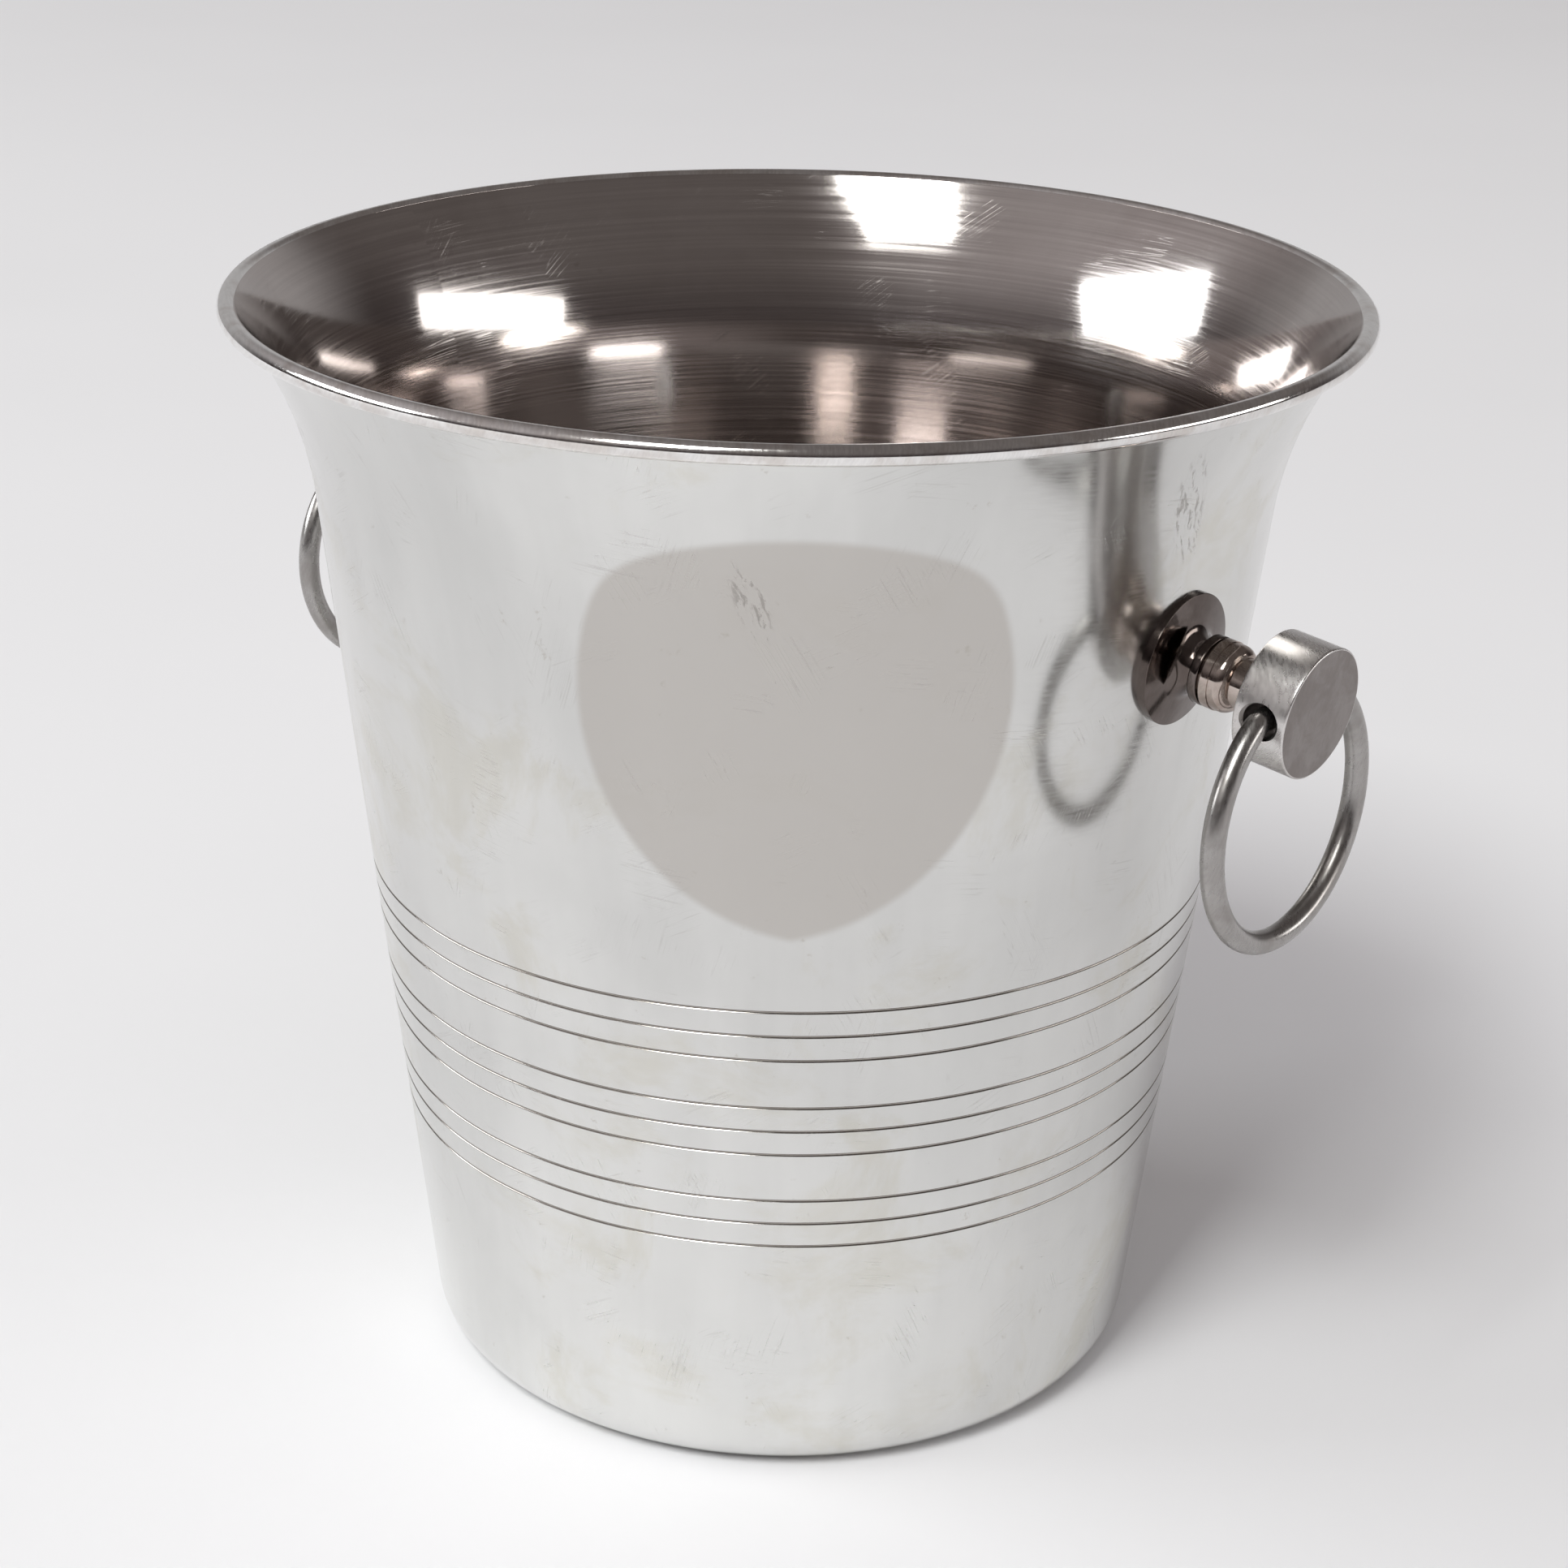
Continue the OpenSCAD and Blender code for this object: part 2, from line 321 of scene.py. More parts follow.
def pairing_tree() -> bpy.types.NodeTree:
    """Repeats a fixing at both handles, square to the wall."""
    recipe = GeometryRecipe(
        "pair of fixings",
        {"Reach": "Float", "Height": "Float", "Tilt": "Float", "Finish": "Material"},
    )
    given = recipe.given
    line = recipe.add("MeshLine", Count=2)
    index = recipe.add("InputIndex").outputs[0]
    sign = recipe.math("SUBTRACT", 1.0, recipe.math("MULTIPLY", index, 2.0))
    spot = recipe.add(
        "CombineXYZ", X=recipe.math("MULTIPLY", sign, given["Reach"]), Z=given["Height"]
    )
    spots = recipe.add("SetPosition", Geometry=line.outputs[0], Position=spot.outputs[0])
    lean = recipe.math("ADD", given["Tilt"], math.pi / 2)
    turn = recipe.add("CombineXYZ", Y=lean, Z=recipe.math("MULTIPLY", index, math.pi))
    pair = recipe.add(
        "InstanceOnPoints",
        Points=spots.outputs[0],
        Instance=given["Geometry"],
        Rotation=turn.outputs[0],
    )
    return recipe.dressed(pair.outputs[0], given["Finish"])


def add_tree(piece: bpy.types.Object, tree: bpy.types.NodeTree, values: dict) -> None:
    """Puts a geometry node tree on a piece and sets its inputs.

    Args:
        piece: The object that carries the tree's starting geometry.
        tree: The tree.
        values: A value for each named input.
    """
    modifier = piece.modifiers.new(tree.name, "NODES")
    modifier.node_group = tree
    for item in tree.interface.items_tree:
        if item.in_out == "INPUT" and item.name in values:
            modifier[item.identifier] = values[item.name]


def baked(source: bpy.types.Object, name: str) -> bpy.types.Object:
    """Turns an object and its modifiers into a plain mesh object.

    Args:
        source: The object with its modifiers; it is removed.
        name: Name of the finished piece.

    Returns:
        The new object at the origin.
    """
    graph = bpy.context.evaluated_depsgraph_get()
    mesh = bpy.data.meshes.new_from_object(
        source.evaluated_get(graph), preserve_all_data_layers=True, depsgraph=graph
    )
    mesh.name = name
    bpy.data.objects.remove(source)
    piece = bpy.data.objects.new(name, mesh)
    bpy.context.scene.collection.objects.link(piece)
    return piece


def face_outwards(piece: bpy.types.Object) -> None:
    """Recalculates a closed mesh's normals so that every face looks outwards."""
    shape = bmesh.new()
    shape.from_mesh(piece.data)
    bmesh.ops.recalc_face_normals(shape, faces=shape.faces)
    shape.to_mesh(piece.data)
    shape.free()


def cut(piece: bpy.types.Object, cutter: bpy.types.Object) -> bpy.types.Object:
    """Cuts one closed mesh out of another and returns the result under the same name."""
    name = piece.name
    piece.name = name + "_uncut"
    modifier = piece.modifiers.new("cut", "BOOLEAN")
    modifier.operation = "DIFFERENCE"
    modifier.solver = "EXACT"
    modifier.object = cutter
    result = baked(piece, name)
    bpy.data.objects.remove(cutter)
    return result


@dataclass
class TurnedPart:
    """A part turned on a lathe.

    Attributes:
        name: Name of the piece.
        outline: Its outline in order, material on the left.
        finishes: One to three materials.
        limits: Row of faces where the first and the second finish end.
        segments: Number of flats round the part.
        sharp: Edges steeper than this many degrees stay crisp.
    """

    name: str
    outline: Outline
    finishes: list[bpy.types.Material]
    limits: tuple[int, int] = (0, 0)
    segments: int = 96
    sharp: float = SHARP_DEGREES

    def build(self, tree: bpy.types.NodeTree) -> bpy.types.Object:
        """Makes the plain mesh.

        Args:
            tree: The turning tree.

        Returns:
            The part, turned about Z at the origin.
        """
        last = self.finishes[-1]
        first = self.finishes[0]
        second = self.finishes[1] if len(self.finishes) > 1 else last
        source = line_object(self.name + "_outline", self.outline)
        add_tree(
            source,
            tree,
            {
                "Segments": self.segments,
                "Sharp Angle": math.radians(self.sharp),
                "First Rows": self.limits[0],
                "Second Rows": self.limits[1],
                "First Finish": first,
                "Second Finish": second,
                "Third Finish": last,
            },
        )
        part = baked(source, self.name)
        face_outwards(part)
        return part


# ---------------------------------------------------------------- finishes


@dataclass(frozen=True)
class Pattern:
    """A noise pattern.

    Attributes:
        scale: Repeats per metre.
        layers: Number of finer layers.
        harsh: Strength of the finer layers, 0 to 1.
        twist: Distortion.
        stretch: Repeats per metre along each axis, where they differ.
        turn: Rotation in degrees, made before the stretch.
    """

    scale: float = 1.0
    layers: float = 3.0
    harsh: float = 0.5
    twist: float = 0.0
    stretch: Colour | None = None
    turn: Colour = (0.0, 0.0, 0.0)


@dataclass(frozen=True)
class Layer:
    """What lies over the clean metal in places.

    Attributes:
        colour: Its colour.
        cover: Share of the metal that it hides.
        roughness: Roughness that it adds.
    """

    colour: Colour
    cover: float
    roughness: float = 0.0


class ShadeRecipe:
    """Adds and joins the nodes of one shader tree.

    Attributes:
        tree: The node tree.
        shader: The node whose sockets the recipe feeds.
        place: The coordinates that the patterns are laid out in.
    """

    def __init__(self, tree: bpy.types.NodeTree, shader: bpy.types.Node, place: str) -> None:
        """Starts a recipe.

        Args:
            tree: The node tree.
            shader: Its shader node.
            place: Name of the texture coordinate to use.
        """
        self.tree = tree
        self.shader = shader
        self.place = tree.nodes.new("ShaderNodeTexCoord").outputs[place]

    def set(self, values: dict[str, object]) -> None:
        """Sets or links the shader's sockets by name."""
        for label, value in values.items():
            self._join(value, self.shader.inputs[label])

    def _join(self, value: object, socket: bpy.types.NodeSocket) -> None:
        """Links a socket to another, or sets it to a value."""
        if isinstance(value, bpy.types.NodeSocket):
            self.tree.links.new(value, socket)
        elif socket.type == "RGBA":
            socket.default_value = (*value, 1.0)
        else:
            socket.default_value = value

    def math(self, operation: str, *values: object, clamp: bool = False) -> bpy.types.NodeSocket:
        """Adds a Math node.

        Args:
            operation: The node's operation.
            *values: Its inputs in order, sockets or numbers.
            clamp: Whether the result is kept between 0 and 1.

        Returns:
            The result's socket.
        """
        node = self.tree.nodes.new("ShaderNodeMath")
        node.operation = operation
        node.use_clamp = clamp
        for socket, value in zip(node.inputs, values):
            self._join(value, socket)
        return node.outputs[0]

    def hypot(self, x: object, y: object) -> bpy.types.NodeSocket:
        """Length of the vector with the two sides."""
        return self.math("SQRT", self.math("ADD", self.math("POWER", x, 2.0),
                                           self.math("POWER", y, 2.0)))

    def plus(self, value: object, mask: object, amount: float) -> bpy.types.NodeSocket:
        """The value, raised by an amount where the mask is 1."""
        return self.math("ADD", value, self.math("MULTIPLY", mask, amount))

    def split(self, vector: bpy.types.NodeSocket) -> tuple[bpy.types.NodeSocket, ...]:
        """The X, Y and Z sockets of a vector."""
        node = self.tree.nodes.new("ShaderNodeSeparateXYZ")
        self._join(vector, node.inputs[0])
        return tuple(node.outputs)

    def join(self, x: object, y: object, z: object = 0.0) -> bpy.types.NodeSocket:
        """A vector from three sockets or numbers."""
        node = self.tree.nodes.new("ShaderNodeCombineXYZ")
        for socket, value in zip(node.inputs, (x, y, z)):
            self._join(value, socket)
        return node.outputs[0]

    def unrolled(self, radius: float) -> bpy.types.NodeSocket:
        """Coordinates on a round surface laid out flat.

        Args:
            radius: Radius at which the layout keeps its true width.

        Returns:
            X is the way round in metres, Y the height and Z the distance from the axis.
        """
        x, y, z = self.split(self.place)
        around = self.math("MULTIPLY", self.math("ARCTAN2", y, x), radius)
        return self.join(around, z, self.hypot(x, y))

    def mapped(
        self,
        vector: bpy.types.NodeSocket,
        scale: Colour = (1.0, 1.0, 1.0),
        turn: Colour = (0.0, 0.0, 0.0),
        shift: Colour = (0.0, 0.0, 0.0),
    ) -> bpy.types.NodeSocket:
        """Turns, then stretches coordinates.

        Args:
            vector: The coordinates.
            scale: Repeats per metre along each axis.
            turn: Rotation in degrees, applied first.
            shift: Offset added first.

        Returns:
            The new coordinates.
        """
        turned = self.tree.nodes.new("ShaderNodeMapping")
        self._join(vector, turned.inputs["Vector"])
        turned.inputs["Location"].default_value = shift
        turned.inputs["Rotation"].default_value = [math.radians(a) for a in turn]
        scaled = self.tree.nodes.new("ShaderNodeMapping")
        self._join(turned.outputs[0], scaled.inputs["Vector"])
        scaled.inputs["Scale"].default_value = scale
        return scaled.outputs[0]

    def noise(self, vector: bpy.types.NodeSocket, pattern: Pattern) -> bpy.types.NodeSocket:
        """Adds a noise texture.

        Args:
            vector: Its coordinates.
            pattern: Its scale and detail.

        Returns:
            The noise's value, about 0.5.
        """
        node = self.tree.nodes.new("ShaderNodeTexNoise")
        if pattern.stretch is not None:
            vector = self.mapped(vector, pattern.stretch, pattern.turn)
        self._join(vector, node.inputs["Vector"])
        node.inputs["Scale"].default_value = pattern.scale
        node.inputs["Detail"].default_value = pattern.layers
        node.inputs["Roughness"].default_value = pattern.harsh
        node.inputs["Distortion"].default_value = pattern.twist
        return node.outputs[0]

    def between(
        self, value: bpy.types.NodeSocket, low: float, high: float, start: float = 0.0,
        end: float = 1.0,
    ) -> bpy.types.NodeSocket:
        """Maps a value smoothly from low..high to start..end."""
        node = self.tree.nodes.new("ShaderNodeMapRange")
        node.interpolation_type = "SMOOTHSTEP"
        self._join(value, node.inputs["Value"])
        node.inputs["From Min"].default_value = low
        node.inputs["From Max"].default_value = high
        node.inputs["To Min"].default_value = start
        node.inputs["To Max"].default_value = end
        return node.outputs[0]

    def laid(self, under: object, mask: object, layer: Layer) -> bpy.types.NodeSocket:
        """The colour `under` with a layer over it where the mask is 1."""
        return self.blend(self.math("MULTIPLY", mask, layer.cover), under, layer.colour)

    def shaded(self, colour: object, shade: object) -> bpy.types.NodeSocket:
        """The colour multiplied by a brightness."""
        return self.blend(1.0, colour, shade, "MULTIPLY")

    def blend(self, factor: object, first: object, second: object,
              mode: str = "MIX") -> bpy.types.NodeSocket:
        """Mixes two colours.

        Args:
            factor: Share of the second.
            first: Colour or socket.
            second: Colour or socket.
            mode: The way they are mixed.

        Returns:
            The mixed colour.
        """
        node = self.tree.nodes.new("ShaderNodeMix")
        node.data_type = "RGBA"
        node.blend_type = mode
        self._join(factor, node.inputs[0])
        self._join(first, node.inputs[6])
        self._join(second, node.inputs[7])
        return node.outputs[2]

    def scratches(self, flat: bpy.types.NodeSocket, turn: float) -> bpy.types.NodeSocket:
        """Sparse fine scratches that run mostly one way.

        Args:
            flat: Unrolled coordinates.
            turn: Their direction in degrees.

        Returns:
            1 on a scratch and 0 beside it.
        """
        along = SCRATCHES_PER_METRE
        shift = (turn * 0.01, 0.3, 0.0)
        turned = self.mapped(flat, (along, along * SCRATCH_SLIMNESS, 0.0), (0, 0, turn), shift)
        contours = self.noise(turned, Pattern(layers=1.0))
        off = self.math("ABSOLUTE", self.math("SUBTRACT", contours, 0.5))
        line = self.between(off, SCRATCH_WIDTH * 0.3, SCRATCH_WIDTH, 1.0, 0.0)
        places = self.mapped(flat, (60, 60, 0.0), shift=(turn, 0, 0))
        here = self.between(self.noise(places, Pattern(layers=2.0)), 0.58, 0.66)
        return self.math("MULTIPLY", line, here)

    def bearing_and_height(self, bearing: float) -> tuple[bpy.types.NodeSocket, ...]:
        """Coordinates on a round wall from one direction.

        Args:
            bearing: The direction from +X in degrees.

        Returns:
            The way round from that direction in metres, the height, and the distance out
            along the direction, which is negative on the far side.
        """
        x, y, z = self.split(self.mapped(self.place, turn=(0.0, 0.0, -bearing)))
        around = self.math("MULTIPLY", self.math("ARCTAN2", y, x), self.hypot(x, y))
        return around, z, x

    def bump(self, height: bpy.types.NodeSocket, distance: float,
             strength: float = 1.0, under: object = None) -> bpy.types.NodeSocket:
        """Turns a height into a surface normal.

        Args:
            height: The height, 0 to 1.
            distance: Its depth in metres.
            strength: Share of the effect.
            under: Normal of a coarser bump below it.

        Returns:
            The normal's socket.
        """
        node = self.tree.nodes.new("ShaderNodeBump")
        self._join(height, node.inputs["Height"])
        node.inputs["Distance"].default_value = distance
        node.inputs["Strength"].default_value = strength
        if under is not None:
            self._join(under, node.inputs["Normal"])
        return node.outputs[0]


class FinishRecipe(ShadeRecipe):
    """Makes one material round a Principled shader."""

    def __init__(self, name: str) -> None:
        """Makes the material.

        Args:
            name: The material's name.
        """
        self.material = bpy.data.materials.new(name)
        self.material.use_nodes = True
        tree = self.material.node_tree
        tree.nodes.clear()
        output = tree.nodes.new("ShaderNodeOutputMaterial")
        shader = tree.nodes.new("ShaderNodeBsdfPrincipled")
        tree.links.new(shader.outputs[0], output.inputs["Surface"])
        super().__init__(tree, shader, "Object")


@dataclass(frozen=True)
class Scuff:
    """A rubbed place on the wall.

    Attributes:
        bearing: Direction of its middle from +X in degrees.
        height: Height of its middle.
        width: Its width.
        tall: Its height.
        lean: How far it leans, in degrees.
        strokes: Pattern of its strokes.
    """

    bearing: float
    height: float
    width: float
    tall: float
    lean: float
    strokes: Pattern = Pattern(1.0, 5.0, 0.7, 0.4, (900.0, 260.0, 0.0))

    def mask(self, recipe: ShadeRecipe) -> bpy.types.NodeSocket:
        """Broken strokes inside an oval.

        Args:
            recipe: The material being made.

        Returns:
            1 on a stroke and 0 beside it.
        """
        around, height, out = recipe.bearing_and_height(self.bearing)
        flat = recipe.join(around, recipe.math("SUBTRACT", height, self.height))
        leaning = recipe.mapped(flat, turn=(0.0, 0.0, self.lean))
        x, y, _ = recipe.split(leaning)
        oval = recipe.math("ADD", recipe.math("POWER", recipe.math("DIVIDE", x, self.width), 2.0),
                           recipe.math("POWER", recipe.math("DIVIDE", y, self.tall), 2.0))
        strokes = recipe.noise(leaning, self.strokes)
        rubbed = recipe.between(strokes, 0.50, 0.60)
        near = recipe.math("MULTIPLY", recipe.between(oval, 0.08, 0.25, 1.0, 0.0),
                           recipe.between(out, 0.0, FADE_ROUND))
        return recipe.math("MULTIPLY", rubbed, near)


@dataclass(frozen=True)
class SatinWall:
    """Satin-polished outside of the bucket, with stains, wipe marks and fine scratches.

    Attributes:
        steel: Clean metal.
        stain: A dried, slightly yellow film.
        shade: The plain shield-shaped mark on the front.
        speck: Small dark specks.
        scratch: Scratches.
        rubbed: Scuffs.
        groove_darkening: Painted darkening of the bottoms of the grooves.
        roughness: Roughness of the clean polish.
        clouds: Soft changes of brightness.
        film: Where the film is.
        drips: Faint upright streaks.
        specks: Where the specks are.
        polish: Fine polishing lines.
        waves: Slight waviness of the sheet.
        scratch_turns: Directions of the scratches in degrees.
        scuffs: The rubbed places.
        mark_bearing: Direction of the mark's middle from +X in degrees.
        mark_top: Height of the mark's top edge at its middle.
        mark_top_bow: How fast the top edge drops to both sides, per metre.
        mark_corner: Rounding of the corners between the top and the sides.
        mark_half_width: Half its greatest width.
        mark_side_radius: Radius of its sides.
        mark_widest: Height at which it is widest.
        mark_soft_edge: Half the width of its soft edge.
    """

    steel: Colour = (0.735, 0.735, 0.72)
    stain: Layer = Layer((0.65, 0.63, 0.56), 0.55, 0.05)
    shade: Layer = Layer((0.545, 0.52, 0.49), 0.85, 0.03)
    speck: Layer = Layer((0.42, 0.38, 0.33), 0.35)
    scratch: Layer = Layer((0.42, 0.40, 0.38), 0.22, 0.12)
    rubbed: Layer = Layer((0.30, 0.28, 0.26), 0.55, 0.25)
    # Painted darkening of the groove bottoms, laid over the metal's colour.
    groove_darkening: Layer = Layer((0.30, 0.27, 0.24), 0.85)
    roughness: float = 0.135
    clouds: Pattern = Pattern(16.0, 6.0, 0.55, 0.3)
    film: Pattern = Pattern(31.0, 9.0, 0.68, 0.6)
    drips: Pattern = Pattern(1.0, 4.0, 0.6, 0.2, (75.0, 9.0, 0.0))
    specks: Pattern = Pattern(260.0, 4.0, 0.7)
    polish: Pattern = Pattern(stretch=(240.0, 1900.0, 0.0), turn=(0.0, 0.0, 4.0))
    waves: Pattern = Pattern(22.0, 2.0, 0.4)
    scratch_turns: tuple[float, ...] = (8.0, -27.0, 62.0, 108.0)
    scuffs: tuple[Scuff, ...] = (
        Scuff(-5.0, 179.0 * MM, 8.0 * MM, 26.0 * MM, -22.0),
        Scuff(-54.8, 170.0 * MM, 6.0 * MM, 17.0 * MM, -20.0),
    )
    mark_bearing: float = -50.0
    mark_top: float = 180.8 * MM
    mark_top_bow: float = 7.2
    mark_corner: float = 8.0 * MM
    mark_half_width: float = 35.5 * MM
    mark_side_radius: float = 44.0 * MM
    mark_widest: float = 153.0 * MM
    mark_soft_edge: float = 0.9 * MM

    def mark(self, recipe: FinishRecipe) -> bpy.types.NodeSocket:
        """The plain mark: two leaning side arcs under a flat top arc.

        Args:
            recipe: The material being made.

        Returns:
            1 inside the mark and 0 outside.
        """
        around, z, out = recipe.bearing_and_height(self.mark_bearing)
        aside = recipe.math("ABSOLUTE", around)
        below = recipe.math("SUBTRACT", z, self.mark_widest)
        centre = self.mark_side_radius - self.mark_half_width
        from_centre = recipe.hypot(recipe.math("ADD", aside, centre), below)
        side = recipe.math("SUBTRACT", from_centre, self.mark_side_radius)
        top_drop = recipe.math("MULTIPLY", recipe.math("POWER", around, 2.0), self.mark_top_bow)
        top = recipe.math("ADD", recipe.math("SUBTRACT", z, self.mark_top), top_drop)
        edge = recipe.math("SMOOTH_MAX", side, top, self.mark_corner)
        inside = recipe.between(edge, -self.mark_soft_edge, self.mark_soft_edge, 1.0, 0.0)
        return recipe.math("MULTIPLY", inside, recipe.between(out, 0.0, FADE_ROUND))

    def build(self) -> bpy.types.Material:
        """Makes the material."""
        recipe = FinishRecipe("satin_wall")
        flat = recipe.unrolled(LAYOUT_RADIUS)
        clouds = recipe.noise(recipe.place, self.clouds)
        film = recipe.between(recipe.noise(recipe.place, self.film), 0.50, 0.66)
        specks = recipe.between(recipe.noise(recipe.place, self.specks), 0.66, 0.74)
        fine = recipe.noise(flat, self.polish)
        lines = 0.0
        for turn in self.scratch_turns:
            lines = recipe.math("MAXIMUM", recipe.scratches(flat, turn), lines)
        rubbed = 0.0
        for scuff in self.scuffs:
            rubbed = recipe.math("MAXIMUM", scuff.mask(recipe), rubbed)
        groove = recipe.tree.nodes.new("ShaderNodeAttribute")
        groove.attribute_name = GROOVE
        over = (
            (self.shade, self.mark(recipe)),
            (self.speck, specks),
            (self.scratch, lines),
            (self.rubbed, rubbed),
            # The groove attribute paints the bottoms of the grooves darker.
            (self.groove_darkening, groove.outputs["Fac"]),
        )

        light = recipe.between(clouds, 0.34, 0.68, 0.93, 1.04)
        streak = recipe.between(recipe.noise(flat, self.drips), 0.35, 0.7, 0.975, 1.02)
        colour = recipe.laid(self.steel, film, self.stain)
        colour = recipe.shaded(colour, recipe.math("MULTIPLY", light, streak))
        rough = recipe.between(clouds, 0.3, 0.7, self.roughness - 0.02, self.roughness + 0.04)
        rough = recipe.math("ADD", rough, recipe.between(fine, 0.3, 0.7, -0.02, 0.03))
        rough = recipe.plus(rough, film, self.stain.roughness)
        for layer, mask in over:
            colour = recipe.laid(colour, mask, layer)
            rough = recipe.plus(rough, mask, layer.roughness)

        coarse = recipe.bump(recipe.noise(recipe.place, self.waves), 0.10 * MM, 0.5)
        worn = recipe.math("SUBTRACT", fine, recipe.math("MULTIPLY", lines, 0.9))
        recipe.set({
            "Base Color": colour,
            "Metallic": 1.0,
            "Roughness": rough,
            "Normal": recipe.bump(worn, 0.0022 * MM, 0.6, coarse),
        })
        return recipe.material


@dataclass(frozen=True)
class BrushedInside:
    """Brushed inside of the bucket: fine lines that run round the axis.

    Attributes:
        steel: Clean metal.
        dull: A dull film.
        spot: Small dried spots.
        scratch_roughness: Roughness that a scratch adds.
        roughness: Roughness of the brushed metal.
        brush: Fine brush lines.
        bands: Broader bands of brush lines.
        clouds: Where the film is.
        spots: Where the spots are.
        waves: Slight waviness of the sheet.
    """

    steel: Colour = (0.63, 0.59, 0.57)
    dull: Layer = Layer((0.47, 0.42, 0.40), 0.6)
    spot: Layer = Layer((0.38, 0.34, 0.31), 0.3)
    scratch_roughness: float = 0.12
    roughness: float = 0.105
    brush: Pattern = Pattern(1.0, 4.0, 0.65, stretch=(9.0, 2600.0, 0.0))
    bands: Pattern = Pattern(stretch=(3.0, 160.0, 0.0))
    clouds: Pattern = Pattern(19.0, 6.0, 0.6, 0.4)
    spots: Pattern = Pattern(150.0, 4.0, 0.7)
    waves: Pattern = Pattern(26.0, 2.0, 0.4)

    def build(self) -> bpy.types.Material:
        """Makes the material."""
        recipe = FinishRecipe("brushed_inside")
        flat = recipe.unrolled(LAYOUT_RADIUS)
        around, height, across = recipe.split(flat)
        down = recipe.join(around, recipe.math("SUBTRACT", height, across))
        grain = recipe.noise(down, self.brush)
        film = recipe.between(recipe.noise(recipe.place, self.clouds), 0.35, 0.72)
        spots = recipe.between(recipe.noise(recipe.place, self.spots), 0.64, 0.74)
        lines = recipe.math("MAXIMUM", recipe.scratches(flat, 3.0), recipe.scratches(flat, 40.0))

        bands = recipe.between(recipe.noise(down, self.bands), 0.3, 0.7, 0.96, 1.03)
        shade = recipe.math("MULTIPLY", recipe.between(grain, 0.25, 0.75, 0.90, 1.05), bands)
        colour = recipe.shaded(recipe.laid(self.steel, film, self.dull), shade)
        colour = recipe.laid(colour, spots, self.spot)
        rough = recipe.between(grain, 0.3, 0.7, self.roughness - 0.03, self.roughness + 0.05)
        rough = recipe.plus(rough, lines, self.scratch_roughness)
        worn = recipe.math("SUBTRACT", grain, recipe.math("MULTIPLY", lines, 0.8))
        coarse = recipe.bump(recipe.noise(recipe.place, self.waves), 0.10 * MM, 0.5)
        tangent = recipe.tree.nodes.new("ShaderNodeTangent")
        tangent.direction_type = "RADIAL"
        tangent.axis = "Z"
        recipe.set({
            "Base Color": colour,
            "Metallic": 1.0,
            "Roughness": rough,
            "Anisotropic": 0.6,
            "Anisotropic Rotation": 0.25,
            "Tangent": tangent.outputs[0],
            "Normal": recipe.bump(worn, 0.0035 * MM, 0.7, coarse),
        })
        return recipe.material


@dataclass(frozen=True)
class SmallPartFinish:
    """Finish of a small turned or bent part: polish, tarnish and wear.

    Attributes:
        name: The material's name.
        metal: Clean metal.
        tarnish: Tarnished metal.
        roughness: Roughness of the clean metal.
        tarnish_share: How much of the surface the tarnish covers, 0 to 1.
        patchy: How strongly the tarnish shows, 0 to 1.
        patches_per_metre: Tarnish patches per metre.
        grain: Depth of the fine grain in metres.
        grain_size: Grain lines per metre.
        spots: Where small tarnish spots are.
        hairs: Fine hair lines.
    """

    name: str
    metal: Colour
    tarnish: Colour
    roughness: float
    tarnish_share: float = 0.5
    patchy: float = 0.9
    patches_per_metre: float = 140.0
    grain: float = 0.002 * MM
    grain_size: float = 1500.0
    spots: Pattern = Pattern(520.0, 5.0, 0.7)
    hairs: Pattern = Pattern(1.0, 2.0, stretch=(180.0, 2600.0, 700.0), turn=(20.0, 0.0, 35.0))

    def build(self) -> bpy.types.Material:
        """Makes the material."""
        recipe = FinishRecipe(self.name)
        patches = Pattern(self.patches_per_metre, 6.0, 0.6, 0.5)
        spots = recipe.between(recipe.noise(recipe.place, self.spots), 0.60, 0.72)
        fine = recipe.noise(recipe.place, Pattern(self.grain_size, 3.0, 0.6))
        hairs = recipe.noise(recipe.place, self.hairs)
        middle = 0.62 - 0.24 * self.tarnish_share
        cover = recipe.between(recipe.noise(recipe.place, patches), middle - 0.14, middle + 0.14)
        colour = recipe.laid(self.metal, cover, Layer(self.tarnish, self.patchy))
        colour = recipe.laid(colour, spots, Layer(self.tarnish, 0.35 * self.patchy))
        colour = recipe.shaded(colour, recipe.between(hairs, 0.3, 0.7, 0.94, 1.04))
        rough = recipe.between(hairs, 0.3, 0.7, self.roughness - 0.02, self.roughness + 0.04)
        rough = recipe.plus(recipe.plus(rough, cover, 0.05), spots, 0.10)
        grain = recipe.plus(recipe.math("MULTIPLY", fine, 0.6), hairs, 0.4)
        recipe.set({
            "Base Color": colour,
            "Metallic": 1.0,
            "Roughness": rough,
            "Normal": recipe.bump(grain, self.grain, 0.7),
        })
        return recipe.material


@dataclass(frozen=True)
class StudioPaper:
    """Matt white paper that the bucket stands on."""

    white: Colour = (0.86, 0.86, 0.87)

    def build(self) -> bpy.types.Material:
        """Makes the material."""
        recipe = FinishRecipe("studio_paper")
        clouds = recipe.noise(recipe.place, Pattern(3.0))
        tone = recipe.between(clouds, 0.3, 0.7, 0.99, 1.01)
        recipe.set({
            "Base Color": recipe.shaded(self.white, tone),
            "Roughness": 0.9,
        })
        recipe.shader.inputs["Specular IOR Level"].default_value = 0.15
        return recipe.material


# ---------------------------------------------------------------- bucket


